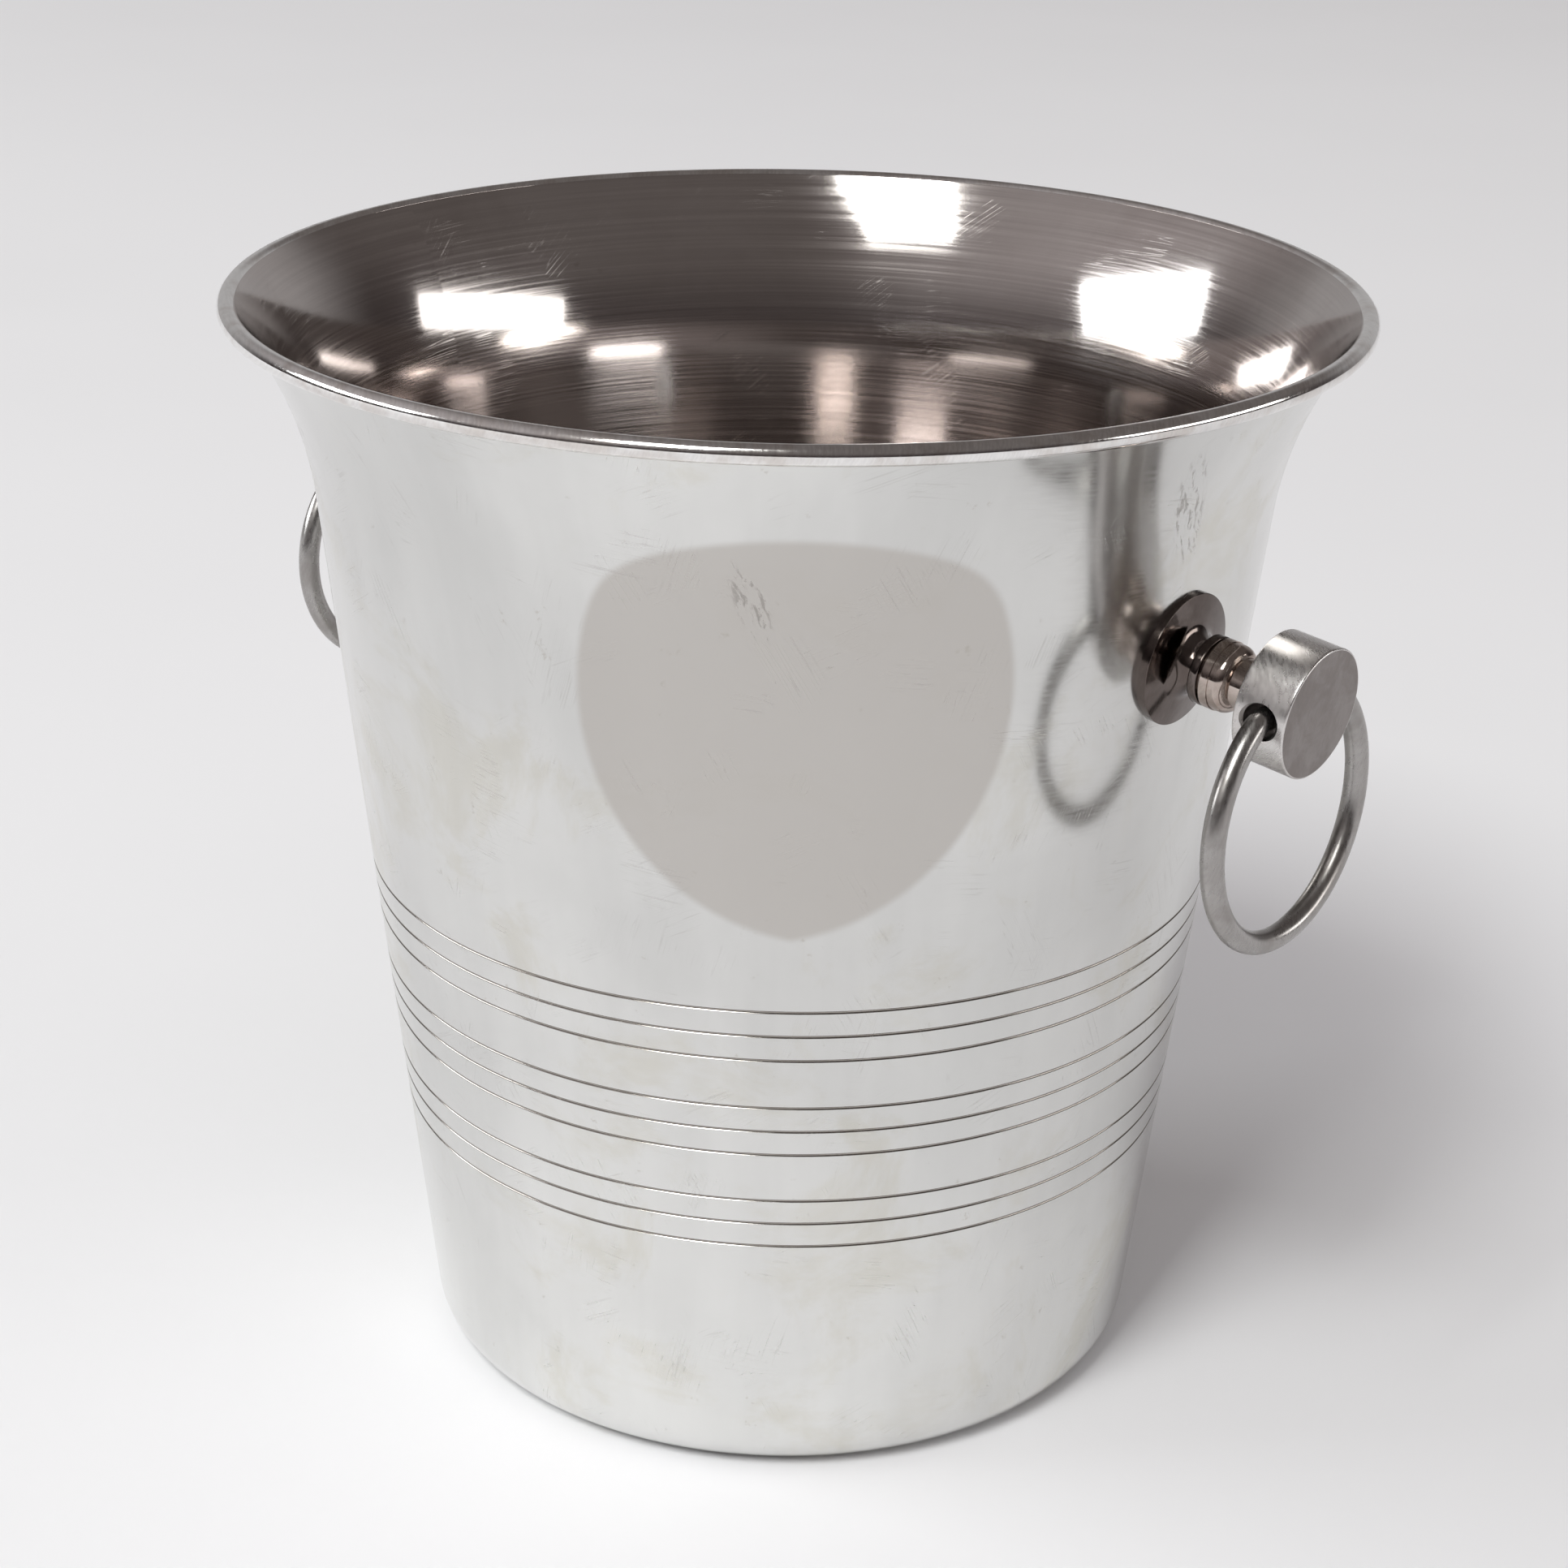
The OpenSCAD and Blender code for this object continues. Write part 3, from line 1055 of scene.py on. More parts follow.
@dataclass
class BucketBody:
    """The drawn body: floor, corner, conical wall with grooves, flare and rolled rim.

    Attributes:
        rim_radius: Outside radius over the rim.
        height: Overall height.
        base_radius: Radius of the wall's cone at the table.
        sheet: Thickness of the sheet.
        corner: Outside radius of the bottom corner.
        flare: Radius of the flare.
        rim_angle: Angle of the wall from upright at the rim.
        bead: Radius of the rolled rim.
        curl_gap: Turn that the curl leaves open, in degrees.
        curl_proud: How far the curl stands proud of the flare.
        floor_lift: Height of the raised floor.
        stand_ring: Width of the flat ring that the bucket stands on.
        groove_top: Height of the topmost groove.
        groove_pitch: Height from groove to groove.
        groove_depth: Depth of a groove.
        groove_cutter: Radius of the tool that cuts it.
        groove_hold: Length of the flat kept beside a groove.
        groove_steps: Places of the grooves, in pitches below the topmost.
        segments: Number of flats round the body.
        corner_step: Turn between points on the bottom corner, in degrees.
        flare_step: The same on the flare.
        curl_step: The same inside the rolled rim.
        bead_step: The same round the rolled rim.
        wall_finish: Finish of the outside.
        rim_finish: Finish of the rolled rim.
        inside_finish: Finish of the inside.
    """

    rim_radius: float = 100.0 * MM
    height: float = 199.0 * MM
    base_radius: float = 66.0 * MM
    sheet: float = 0.9 * MM
    corner: float = 7.5 * MM
    flare: float = 69.0 * MM
    rim_angle: float = 36.5
    bead: float = 1.7 * MM
    curl_gap: float = 75.0
    curl_proud: float = 0.03 * MM
    floor_lift: float = 1.2 * MM
    stand_ring: float = 6.0 * MM
    groove_top: float = 96.0 * MM
    groove_pitch: float = 4.7 * MM
    groove_depth: float = 0.2 * MM
    groove_cutter: float = 0.32 * MM
    groove_hold: float = 0.35 * MM
    groove_steps: tuple[int, ...] = (0, 1, 2, 4, 5, 6, 8, 9, 10)
    segments: int = 360
    corner_step: float = 5.0
    flare_step: float = 1.2
    curl_step: float = 15.0
    bead_step: float = 6.0
    wall_finish: SatinWall = SatinWall()
    rim_finish: SmallPartFinish = SmallPartFinish(
        "rim_polish", (0.86, 0.85, 0.84), (0.70, 0.66, 0.63), 0.09, 0.35, grain=0.0012 * MM
    )
    inside_finish: BrushedInside = BrushedInside()

    def __post_init__(self) -> None:
        """Works out the centres and the angle that the outline is drawn from."""
        self.bead_centre = point(self.rim_radius - self.bead, self.height - self.bead)
        self.flare_inside = self.flare + self.sheet
        reach = self.flare_inside - self.bead + self.curl_proud
        self.flare_centre = polar(self.bead_centre, reach, -self.rim_angle)
        start = point(self.base_radius, 0.0)
        self.wall_angle = 90 - touch_angle(start, self.flare_centre, self.flare)
        lean = math.radians(self.wall_angle)
        corner_r = self.base_radius + self.corner * (math.tan(lean) - 1 / math.cos(lean))
        self.corner_centre = point(corner_r, self.corner)
        self.stand_in = corner_r - self.stand_ring
        self.floor_edge = self.stand_in - 2 * self.floor_lift
        self.up_wall = HOLD * polar(point(0, 0), 1.0, 90 - self.wall_angle)

    def wall_radius(self, z: float) -> float:
        """Outside radius of the wall's cone at height `z`."""
        return self.base_radius + z * math.tan(math.radians(self.wall_angle))

    def groove(self, z: float) -> Outline:
        """Points of one groove, from below to above, sharp at both lips."""
        out = -self.wall_angle
        surface = point(self.wall_radius(z), z)
        centre = polar(surface, self.groove_cutter - self.groove_depth, out)
        half = math.degrees(math.acos((self.groove_cutter - self.groove_depth)
                                      / self.groove_cutter))
        lips = (out + 180 + half, out + 180 - half)
        cut_points = arc(centre, self.groove_cutter, *lips, EDGE_STEP)
        margin = self.groove_hold * polar(point(0, 0), 1.0, 90 + out)
        return [cut_points[0] - margin, *cut_points, cut_points[-1] + margin]

    def outside(self) -> Outline:
        """The outer surface from the middle of the underside up to the curl."""
        low = polar(self.corner_centre, self.corner, -self.wall_angle)
        flare_angles = (180 - self.wall_angle, 180 - self.rim_angle)
        flare = arc(self.flare_centre, self.flare, *flare_angles, self.flare_step)
        points = run(point(0.0, self.floor_lift), point(self.floor_edge, self.floor_lift))
        points += run(point(self.stand_in, 0.0), point(self.corner_centre.x, 0.0))
        points += arc(self.corner_centre, self.corner, -90, -self.wall_angle, self.corner_step)
        points.append(low + self.up_wall)
        for step in reversed(self.groove_steps):
            points += self.groove(self.groove_top - step * self.groove_pitch)
        points.append(flare[0] - self.up_wall)
        points += flare
        return tidy(points)

    def rim(self) -> Outline:
        """The curl: its inner side, the sheet's edge, then its outer side over the top."""
        start = 180 - self.rim_angle
        end = start + self.curl_gap - 360
        hollow = self.bead - self.sheet
        points = arc(self.bead_centre, hollow, start, end, self.curl_step)
        points += arc(self.bead_centre, self.bead, end, start, self.bead_step)
        return tidy(points)

    def inside(self) -> Outline:
        """The inner surface from the rim down to the middle of the floor."""
        inner_corner = self.corner - self.sheet
        top = self.floor_lift + self.sheet
        slope = self.sheet / 2
        flare_angles = (180 - self.rim_angle, 180 - self.wall_angle)
        points = arc(self.flare_centre, self.flare_inside, *flare_angles, self.flare_step)
        points.append(points[-1] - self.up_wall)
        corner = arc(self.corner_centre, inner_corner, -self.wall_angle, -90, self.corner_step)
        points.append(corner[0] + self.up_wall)
        points += corner
        points += run(point(self.corner_centre.x, self.sheet),
                      point(self.stand_in + slope, self.sheet))
        points += run(point(self.floor_edge + slope, top), point(0.0, top))
        return tidy(points)

    def build(self, tree: bpy.types.NodeTree) -> bpy.types.Object:
        """Makes the body with its three finishes.

        Args:
            tree: The turning tree.

        Returns:
            The finished piece.
        """
        outer = self.outside()
        rim = self.rim()
        outline = tidy(outer + rim + self.inside())
        limits = (len(outer), len(tidy(outer + rim)) - 1)
        finishes = [finish.build()
                    for finish in (self.wall_finish, self.rim_finish, self.inside_finish)]
        part = TurnedPart("bucket_shell", outline, finishes, limits, self.segments)
        shell = part.build(tree)
        self.mark_grooves(shell)
        return shell

    def mark_grooves(self, shell: bpy.types.Object) -> None:
        """Gives the bottoms of the grooves an attribute, which the finish paints darker."""
        mark = shell.data.attributes.new(GROOVE, "FLOAT", "POINT")
        low = self.groove_top - (self.groove_steps[-1] + 1) * self.groove_pitch
        high = self.groove_top + self.groove_pitch
        shallow = 0.3 * self.groove_depth
        middle = self.sheet / 2
        for vertex in shell.data.vertices:
            x, y, z = vertex.co
            depth = self.wall_radius(z) - math.hypot(x, y)
            if low < z < high and shallow < depth < middle:
                mark.data[vertex.index].value = 1.0


# ---------------------------------------------------------------- handles


@dataclass
class HandleSizes:
    """Sizes that the pieces of a handle share.

    Along a handle, z starts at the wall's surface and runs outwards, square to the wall.

    Attributes:
        height: Height at which a handle's axis meets the wall.
        foot_diameter: Diameter of the flange on the wall.
        foot_length: Length of the foot up to its joint with the post.
        collar_diameter: Diameter of the collar at that joint.
        stem_length: Length of the post up to the drum.
        drum_diameter: Diameter of the drum.
        drum_length: Length of the drum.
        hole_diameter: Diameter of the cross hole that the ring swings in.
        neck: Radius of the foot's and the post's necks.
        screw_bore: Radius of the post's threaded bore.
        edge: Radius of the small rounded edges.
    """

    height: float = 150.5 * MM
    foot_diameter: float = 23.0 * MM
    foot_length: float = 6.8 * MM
    collar_diameter: float = 12.0 * MM
    stem_length: float = 10.6 * MM
    drum_diameter: float = 22.4 * MM
    drum_length: float = 9.6 * MM
    hole_diameter: float = 6.2 * MM
    neck: float = 4.3 * MM
    screw_bore: float = 2.02 * MM
    edge: float = 0.3 * MM

    def drum_start(self) -> float:
        """Distance from the wall to the back of the drum."""
        return self.foot_length + self.stem_length

    def hinge(self) -> float:
        """Distance from the wall to the ring's hinge axis."""
        return self.drum_start() + self.drum_length / 2

    def place(self, side: Side, body: BucketBody) -> Matrix:
        """Where a handle drawn along +Z from the wall goes.

        Args:
            side: The handle's side.
            body: The bucket that it is fixed to.

        Returns:
            The transform from the handle's own axes.
        """
        turn = Matrix.Rotation(0.0 if side is Side.RIGHT else math.pi, 4, "Z")
        shift = Matrix.Translation((body.wall_radius(self.height), 0.0, self.height))
        tilt = Matrix.Rotation(math.radians(90 + body.wall_angle), 4, "Y")
        return turn @ shift @ tilt


@dataclass
class HandleFoot:
    """Turned foot: a flange that rises a little, sweeps up into a neck, then a collar.

    Attributes:
        sizes: Sizes that it shares with the other pieces.
        body: The bucket that it seats on.
        flange_edge: Thickness of the flange's edge.
        lip_round: Rounding of that edge.
        neck_run: Length of the straight neck.
        sweep: Radius of the sweep from the flange to the neck.
        collar_length: Length of the collar.
        hole: Radius of its bore.
    """

    sizes: HandleSizes
    body: BucketBody
    flange_edge: float = 0.9 * MM
    lip_round: float = 0.12 * MM
    neck_run: float = 0.2 * MM
    sweep: float = 3.4 * MM
    collar_length: float = 1.7 * MM
    hole: float = 2.2 * MM

    def outline(self) -> Outline:
        """The foot's outline, from its bore out over the front and back along the wall."""
        sizes = self.sizes
        flange = sizes.foot_diameter / 2
        collar = sizes.collar_diameter / 2
        collar_back = sizes.foot_length - self.collar_length
        neck_start = collar_back - self.neck_run
        sweep_centre = point(sizes.neck + self.sweep, neck_start)
        rise = touch_angle(point(flange, self.flange_edge), sweep_centre, self.sweep)
        lip = self.flange_edge - self.lip_round
        rim_in = collar - sizes.edge
        points = run(point(flange, 0.0), point(flange, lip), 0.05 * MM)
        points += arc(point(flange - self.lip_round, lip), self.lip_round, 0, rise - 90, EDGE_STEP)
        points += arc(sweep_centre, self.sweep, rise + 90, 180, 6) if rise > 90 else []
        points += run(point(sizes.neck, neck_start), point(sizes.neck, collar_back))
        points += run(point(sizes.neck, collar_back), point(rim_in, collar_back))
        points += arc(point(rim_in, collar_back + sizes.edge), sizes.edge, -90, 0, EDGE_STEP)
        points += arc(point(rim_in, sizes.foot_length - sizes.edge), sizes.edge, 0, 90, EDGE_STEP)
        points.append(point(self.hole, sizes.foot_length))
        back = [point(self.hole + (flange - self.hole) * i / 6, 0.0) for i in range(7)]
        return tidy(points + back)

    def saddle(self, piece: bpy.types.Object) -> None:
        """Brings the back of the foot, drawn flat at z = 0, onto the wall's cone."""
        place = self.sizes.place(Side.RIGHT, self.body)
        lean = math.radians(self.body.wall_angle)
        for vertex in piece.data.vertices:
            if vertex.co.z > TOUCHING:
                continue
            for _ in range(4):
                spot = place @ vertex.co
                gap = math.hypot(spot.x, spot.y) - self.body.wall_radius(spot.z)
                vertex.co.z -= gap * math.cos(lean)

    def build(self, tree: bpy.types.NodeTree, finish: bpy.types.Material,
              side: Side) -> bpy.types.Object:
        """Makes one foot.

        Args:
            tree: The turning tree.
            finish: Its material.
            side: The handle's side.

        Returns:
            The finished piece.
        """
        part = TurnedPart(f"foot_{side.label}_turned", self.outline(), [finish])
        piece = part.build(tree)
        self.saddle(piece)
        piece.data.transform(self.sizes.place(side, self.body))
        return piece


@dataclass
class HandlePost:
    """Turned post: relieved band, rounded shoulder, neck and drum with its cross hole.

    Attributes:
        sizes: Sizes that it shares with the other pieces.
        body: The bucket.
        relief_width: Width of the groove at its joint with the foot.
        relief_depth: Depth of that groove.
        band_length: Length of the joint's band.
        band_step: Small step down in the band.
        band_step_at: Distance of the step from the joint.
        shoulder_tuck: How far inside the neck the shoulder's centre lies.
        back_fillet: Fillet between the neck and the drum.
        drum_step: Turn between points on the drum's rounded edges, in degrees.
        bore_depth: Depth of the threaded bore.
        chamfer: Chamfer of the cross hole's mouths.
        stem_rows: Rows of faces up to the drum.
        side_rows: Rows of faces up to the drum's face.
    """

    sizes: HandleSizes
    body: BucketBody
    relief_width: float = 0.35 * MM
    relief_depth: float = 0.7 * MM
    band_length: float = 3.2 * MM
    band_step: float = 0.15 * MM
    band_step_at: float = 2.1 * MM
    shoulder_tuck: float = 0.6 * MM
    back_fillet: float = 2.0 * MM
    drum_step: float = 18.0
    bore_depth: float = 8.0 * MM
    chamfer: float = 0.5 * MM
    stem_rows: int = field(init=False, default=0)
    side_rows: int = field(init=False, default=0)

    def outline(self) -> Outline:
        """The post's outline, from its joint with the foot out to the drum's face."""
        sizes = self.sizes
        edge = sizes.edge
        start = sizes.foot_length
        collar = sizes.collar_diameter / 2
        band = collar - self.band_step
        step = start + self.band_step_at
        shoulder = start + self.band_length
        drum = sizes.drum_diameter / 2
        back = sizes.drum_start()
        front = back + sizes.drum_length
        lip = start + self.relief_width
        shoulder_in = sizes.neck - self.shoulder_tuck
        shoulder_radius = band - shoulder_in
        meets_neck = math.degrees(math.acos((sizes.neck - shoulder_in) / shoulder_radius))

        fillet_r = sizes.neck + self.back_fillet
        relief = collar - self.relief_depth

        points = [point(0.0, start + self.bore_depth),
                  point(sizes.screw_bore, start + self.bore_depth),
                  point(sizes.screw_bore, start), point(relief, start), point(relief, lip)]
        points += arc(point(collar - edge, lip + edge), edge, -90, 0, EDGE_STEP)
        points += run(point(collar, lip + edge), point(collar, step), 0.1 * MM)
        points += run(point(band, step), point(band, shoulder), 0.1 * MM)
        points += arc(point(shoulder_in, shoulder), shoulder_radius, 0, meets_neck, ROUND_STEP)
        points += arc(point(fillet_r, back - self.back_fillet), self.back_fillet, 180, 90,
                      ROUND_STEP)
        self.stem_rows = len(tidy(points)) - 1
        points += run(point(fillet_r, back), point(drum - edge, back))
        points += arc(point(drum - edge, back + edge), edge, -90, 0, self.drum_step)
        points += run(point(drum, back + edge), point(drum, front - edge))
        points += arc(point(drum - edge, front - edge), edge, 0, 90, self.drum_step)
        self.side_rows = len(tidy(points)) - 1
        points += run(point(drum - edge, front), point(0.0, front))
        return tidy(points)

    def cross_cutter(self, tree: bpy.types.NodeTree, finish: bpy.types.Material,
                     name: str) -> bpy.types.Object:
        """A turned cutter for the cross hole and its countersunk mouths, lying along Y."""
        radius = self.sizes.hole_diameter / 2
        mouth = self.sizes.drum_diameter / 2
        past = 2 * MM
        beyond = mouth + past
        wide = radius + self.chamfer + past
        outline = [point(0.0, -beyond), point(wide, -beyond), point(radius, self.chamfer - mouth),
                   point(radius, mouth - self.chamfer), point(wide, beyond), point(0.0, beyond)]
        cutter = TurnedPart(name, outline, [finish], segments=64).build(tree)
        lie = Matrix.Translation((0, 0, self.sizes.hinge())) @ Matrix.Rotation(math.pi / 2, 4, "X")
        cutter.data.transform(lie)
        return cutter

    def build(self, tree: bpy.types.NodeTree, finishes: list[bpy.types.Material],
              side: Side) -> bpy.types.Object:
        """Makes one post.

        Args:
            tree: The turning tree.
            finishes: Materials of the stem, of the drum and of its face.
            side: The handle's side.

        Returns:
            The finished piece.
        """
        outline = self.outline()
        limits = (self.stem_rows, self.side_rows)
        part = TurnedPart(f"post_{side.label}_turned", outline, finishes, limits, 128)
        piece = part.build(tree)
        piece = cut(piece, self.cross_cutter(tree, finishes[1], "cross_cutter"))
        piece.data.set_sharp_from_angle(angle=math.radians(SHARP_DEGREES))
        piece.data.transform(self.sizes.place(side, self.body))
        return piece


@dataclass
class RingHandle:
    """Wire ring whose ends are turned into the cross hole.

    Attributes:
        sizes: Sizes that it shares with the other pieces.
        body: The bucket.
        wire: Diameter of the wire.
        drop: From the hinge axis down to the middle of the wire at the bottom.
        bend_in_wires: Radius of the bends into the hole, in wire diameters.
        mouth_inset: How far inside the hole's mouths the bends start.
        end_gap: Gap between the wire's ends in the hole.
        wire_sides: Number of flats round the wire.
    """

    sizes: HandleSizes
    body: BucketBody
    wire: float = 4.0 * MM
    drop: float = 41.0 * MM
    bend_in_wires: float = 1.25
    mouth_inset: float = 1.8 * MM
    end_gap: float = 2.0 * MM
    wire_sides: int = 40

    def path(self) -> Outline:
        """The wire's middle line in the plane of the ring, hinge axis at the origin along X."""
        bend = self.bend_in_wires * self.wire
        reach = self.sizes.drum_diameter / 2 - self.mouth_inset
        spread = reach * reach / (self.drop - 2 * bend)
        radius = (self.drop + spread) / 2
        rise = (self.drop - spread) / 2
        start = math.degrees(math.atan2(rise - bend, reach))
        end = point(self.end_gap / 2, 0.0)
        half = run(end, point(reach, 0.0), 1 * MM)
        half += arc(point(reach, -bend), bend, 90, start, 6)
        half += arc(point(0.0, -rise), radius, start, -90, 2.5)
        half = tidy(half)
        mirrored = [point(-p.x, p.z) for p in reversed(half[:-1])]
        return half + mirrored

    def build(self, tree: bpy.types.NodeTree, finish: bpy.types.Material,
              side: Side) -> bpy.types.Object:
        """Makes one ring, hanging straight down.

        Args:
            tree: The sweeping tree.
            finish: Its material.
            side: The handle's side.

        Returns:
            The finished piece.
        """
        name = f"ring_{side.label}_wire"
        source = line_object(name + "_path", self.path())
        add_tree(source, tree, {"Wire Radius": self.wire / 2, "Wire Sides": self.wire_sides,
                                "Finish": finish})
        piece = baked(source, name)
        face_outwards(piece)
        hinge = self.sizes.place(side, self.body) @ Vector((0.0, 0.0, self.sizes.hinge()))
        piece.data.transform(Matrix.Translation(hinge) @ Matrix.Rotation(math.pi / 2, 4, "Z"))
        return piece


@dataclass
class Fixings:
    """The two screws and washers that hold the handles from inside the bucket.

    Attributes:
        sizes: Sizes that they share with the handles.
        body: The bucket.
        screw: Radius of the thread.
        engage: Length of the thread in the post.
        head: Radius of the head.
        head_height: Height of the head.
        head_round: Rounding of the head.
        tip_chamfer: Chamfer of the screw's tip.
        slot_width: Width of the slot.
        slot_depth: Depth of the slot.
        washer: Radius of the washer.
        washer_hole: Radius of its hole.
        washer_thickness: Its thickness.
        washer_edge: Chamfer of its rim.
    """

    sizes: HandleSizes
    body: BucketBody
    screw: float = 2.0 * MM
    engage: float = 7.0 * MM
    head: float = 4.0 * MM
    head_height: float = 2.4 * MM
    head_round: float = 1.2 * MM
    tip_chamfer: float = 0.4 * MM
    slot_width: float = 1.1 * MM
    slot_depth: float = 1.1 * MM
    washer: float = 5.5 * MM
    washer_hole: float = 2.2 * MM
    washer_thickness: float = 1.0 * MM
    washer_edge: float = 0.15 * MM

    def washer_back(self) -> float:
        """Depth of the washer's inner face behind the wall's outer surface."""
        return self.body.sheet + self.washer_thickness

    def paired(self, name: str, part: bpy.types.Object, tree: bpy.types.NodeTree,
               finish: bpy.types.Material) -> bpy.types.Object:
        """Repeats a fixing at both handles as one piece."""
        add_tree(part, tree, {
            "Reach": self.body.wall_radius(self.sizes.height),
            "Height": self.sizes.height,
            "Tilt": math.radians(self.body.wall_angle),
            "Finish": finish,
        })
        return baked(part, name)

    def screws(self, turning: bpy.types.NodeTree, pairing: bpy.types.NodeTree,
               finish: bpy.types.Material) -> bpy.types.Object:
        """Makes both slotted screws."""
        back = -self.washer_back()
        top = back - self.head_height
        rounded = arc(point(self.head - self.head_round, top + self.head_round),
                      self.head_round, -90, 0, 15)
        tip = self.sizes.foot_length + self.engage
        outline = [point(0.0, top), *rounded, point(self.head, back), point(self.screw, back),
                   point(self.screw, tip - self.tip_chamfer),
                   point(self.screw - self.tip_chamfer, tip),
                   point(0.0, tip)]
        blank = TurnedPart("screw_blank", outline, [finish], segments=64).build(turning)
        half = Vector((self.slot_width / 2, 2 * self.head, self.slot_depth))
        bar = bpy.data.meshes.new("slot_cutter")
        shape = bmesh.new()
        bmesh.ops.create_cube(shape, size=2.0, matrix=Matrix.Translation((0, 0, top))
                              @ Matrix.Diagonal((*half, 1.0)))
        shape.to_mesh(bar)
        shape.free()
        cutter = bpy.data.objects.new("slot_cutter", bar)
        bpy.context.scene.collection.objects.link(cutter)
        bar.materials.append(finish)
        slotted = cut(blank, cutter)
        slotted.data.set_sharp_from_angle(angle=math.radians(SHARP_DEGREES))
        return self.paired("screw_pair", slotted, pairing, finish)

    def washers(self, turning: bpy.types.NodeTree, pairing: bpy.types.NodeTree,
                finish: bpy.types.Material) -> bpy.types.Object:
        """Makes both washers, seated on the curved wall."""
        back = -self.washer_back()
        edge = self.washer_edge
        outline = [point(self.washer_hole, 0.0), point(self.washer_hole, back)]
        outline += [point(self.washer - edge, back), point(self.washer, back + edge),
                    point(self.washer, 0.0)]
        outline += [point(self.washer + (self.washer_hole - self.washer) * i / 4, 0.0)
                    for i in range(1, 5)]
        part = TurnedPart("washer_blank", outline, [finish], segments=64).build(turning)
        self.seat(part)
        return self.paired("washer_pair", part, pairing, finish)

    def seat(self, part: bpy.types.Object) -> None:
        """Brings the washer's outer face, drawn flat at z = 0, onto the wall's inner side."""
        place = self.sizes.place(Side.RIGHT, self.body)
        lean = math.radians(self.body.wall_angle)
        for vertex in part.data.vertices:
            if vertex.co.z < -TOUCHING:
                continue
            for _ in range(4):
                spot = place @ vertex.co
                inner = self.body.wall_radius(spot.z) - self.body.sheet / math.cos(lean)
                vertex.co.z -= (math.hypot(spot.x, spot.y) - inner) * math.cos(lean)


# ---------------------------------------------------------------- studio


@dataclass(frozen=True)
class SoftPanel:
    """A soft light panel that faces the bucket.

    Attributes:
        name: The light's name.
        bearing: Direction from the bucket in degrees, clockwise from straight away from the
            camera as seen from above.
        elevation: Height above the horizon in degrees.
        distance: Distance from the rim's middle in metres.
        size: Width and height in metres.
        radiance: Brightness of its surface.
        colour: Its tint.
        in_gloss: Whether polished surfaces reflect it.
    """

    name: str
    bearing: float
    elevation: float
    distance: float
    size: tuple[float, float]
    radiance: float
    colour: Colour = (1.0, 1.0, 1.0)
    in_gloss: bool = True

    def build(self, camera_bearing: float) -> bpy.types.Object:
        """Makes the light.

        Args:
            camera_bearing: The camera's direction round the bucket in degrees.

        Returns:
            The light.
        """
        lamp = bpy.data.lights.new(self.name, "AREA")
        lamp.shape = "RECTANGLE"
        lamp.size, lamp.size_y = self.size
        lamp.energy = self.radiance * self.size[0] * self.size[1] * math.pi
        lamp.color = self.colour
        made = bpy.data.objects.new(self.name, lamp)
        turn = math.radians(camera_bearing - self.bearing + 90)
        rise = math.radians(self.elevation)
        away = Vector((math.cos(turn) * math.cos(rise), math.sin(turn) * math.cos(rise),
                       math.sin(rise)))
        made.location = Vector((0.0, 0.0, AIM_HEIGHT)) + away * self.distance
        made.rotation_mode = "QUATERNION"
        made.rotation_quaternion = away.to_track_quat("Z", "Y")
        made.visible_glossy = self.in_gloss
        bpy.context.scene.collection.objects.link(made)
        return made


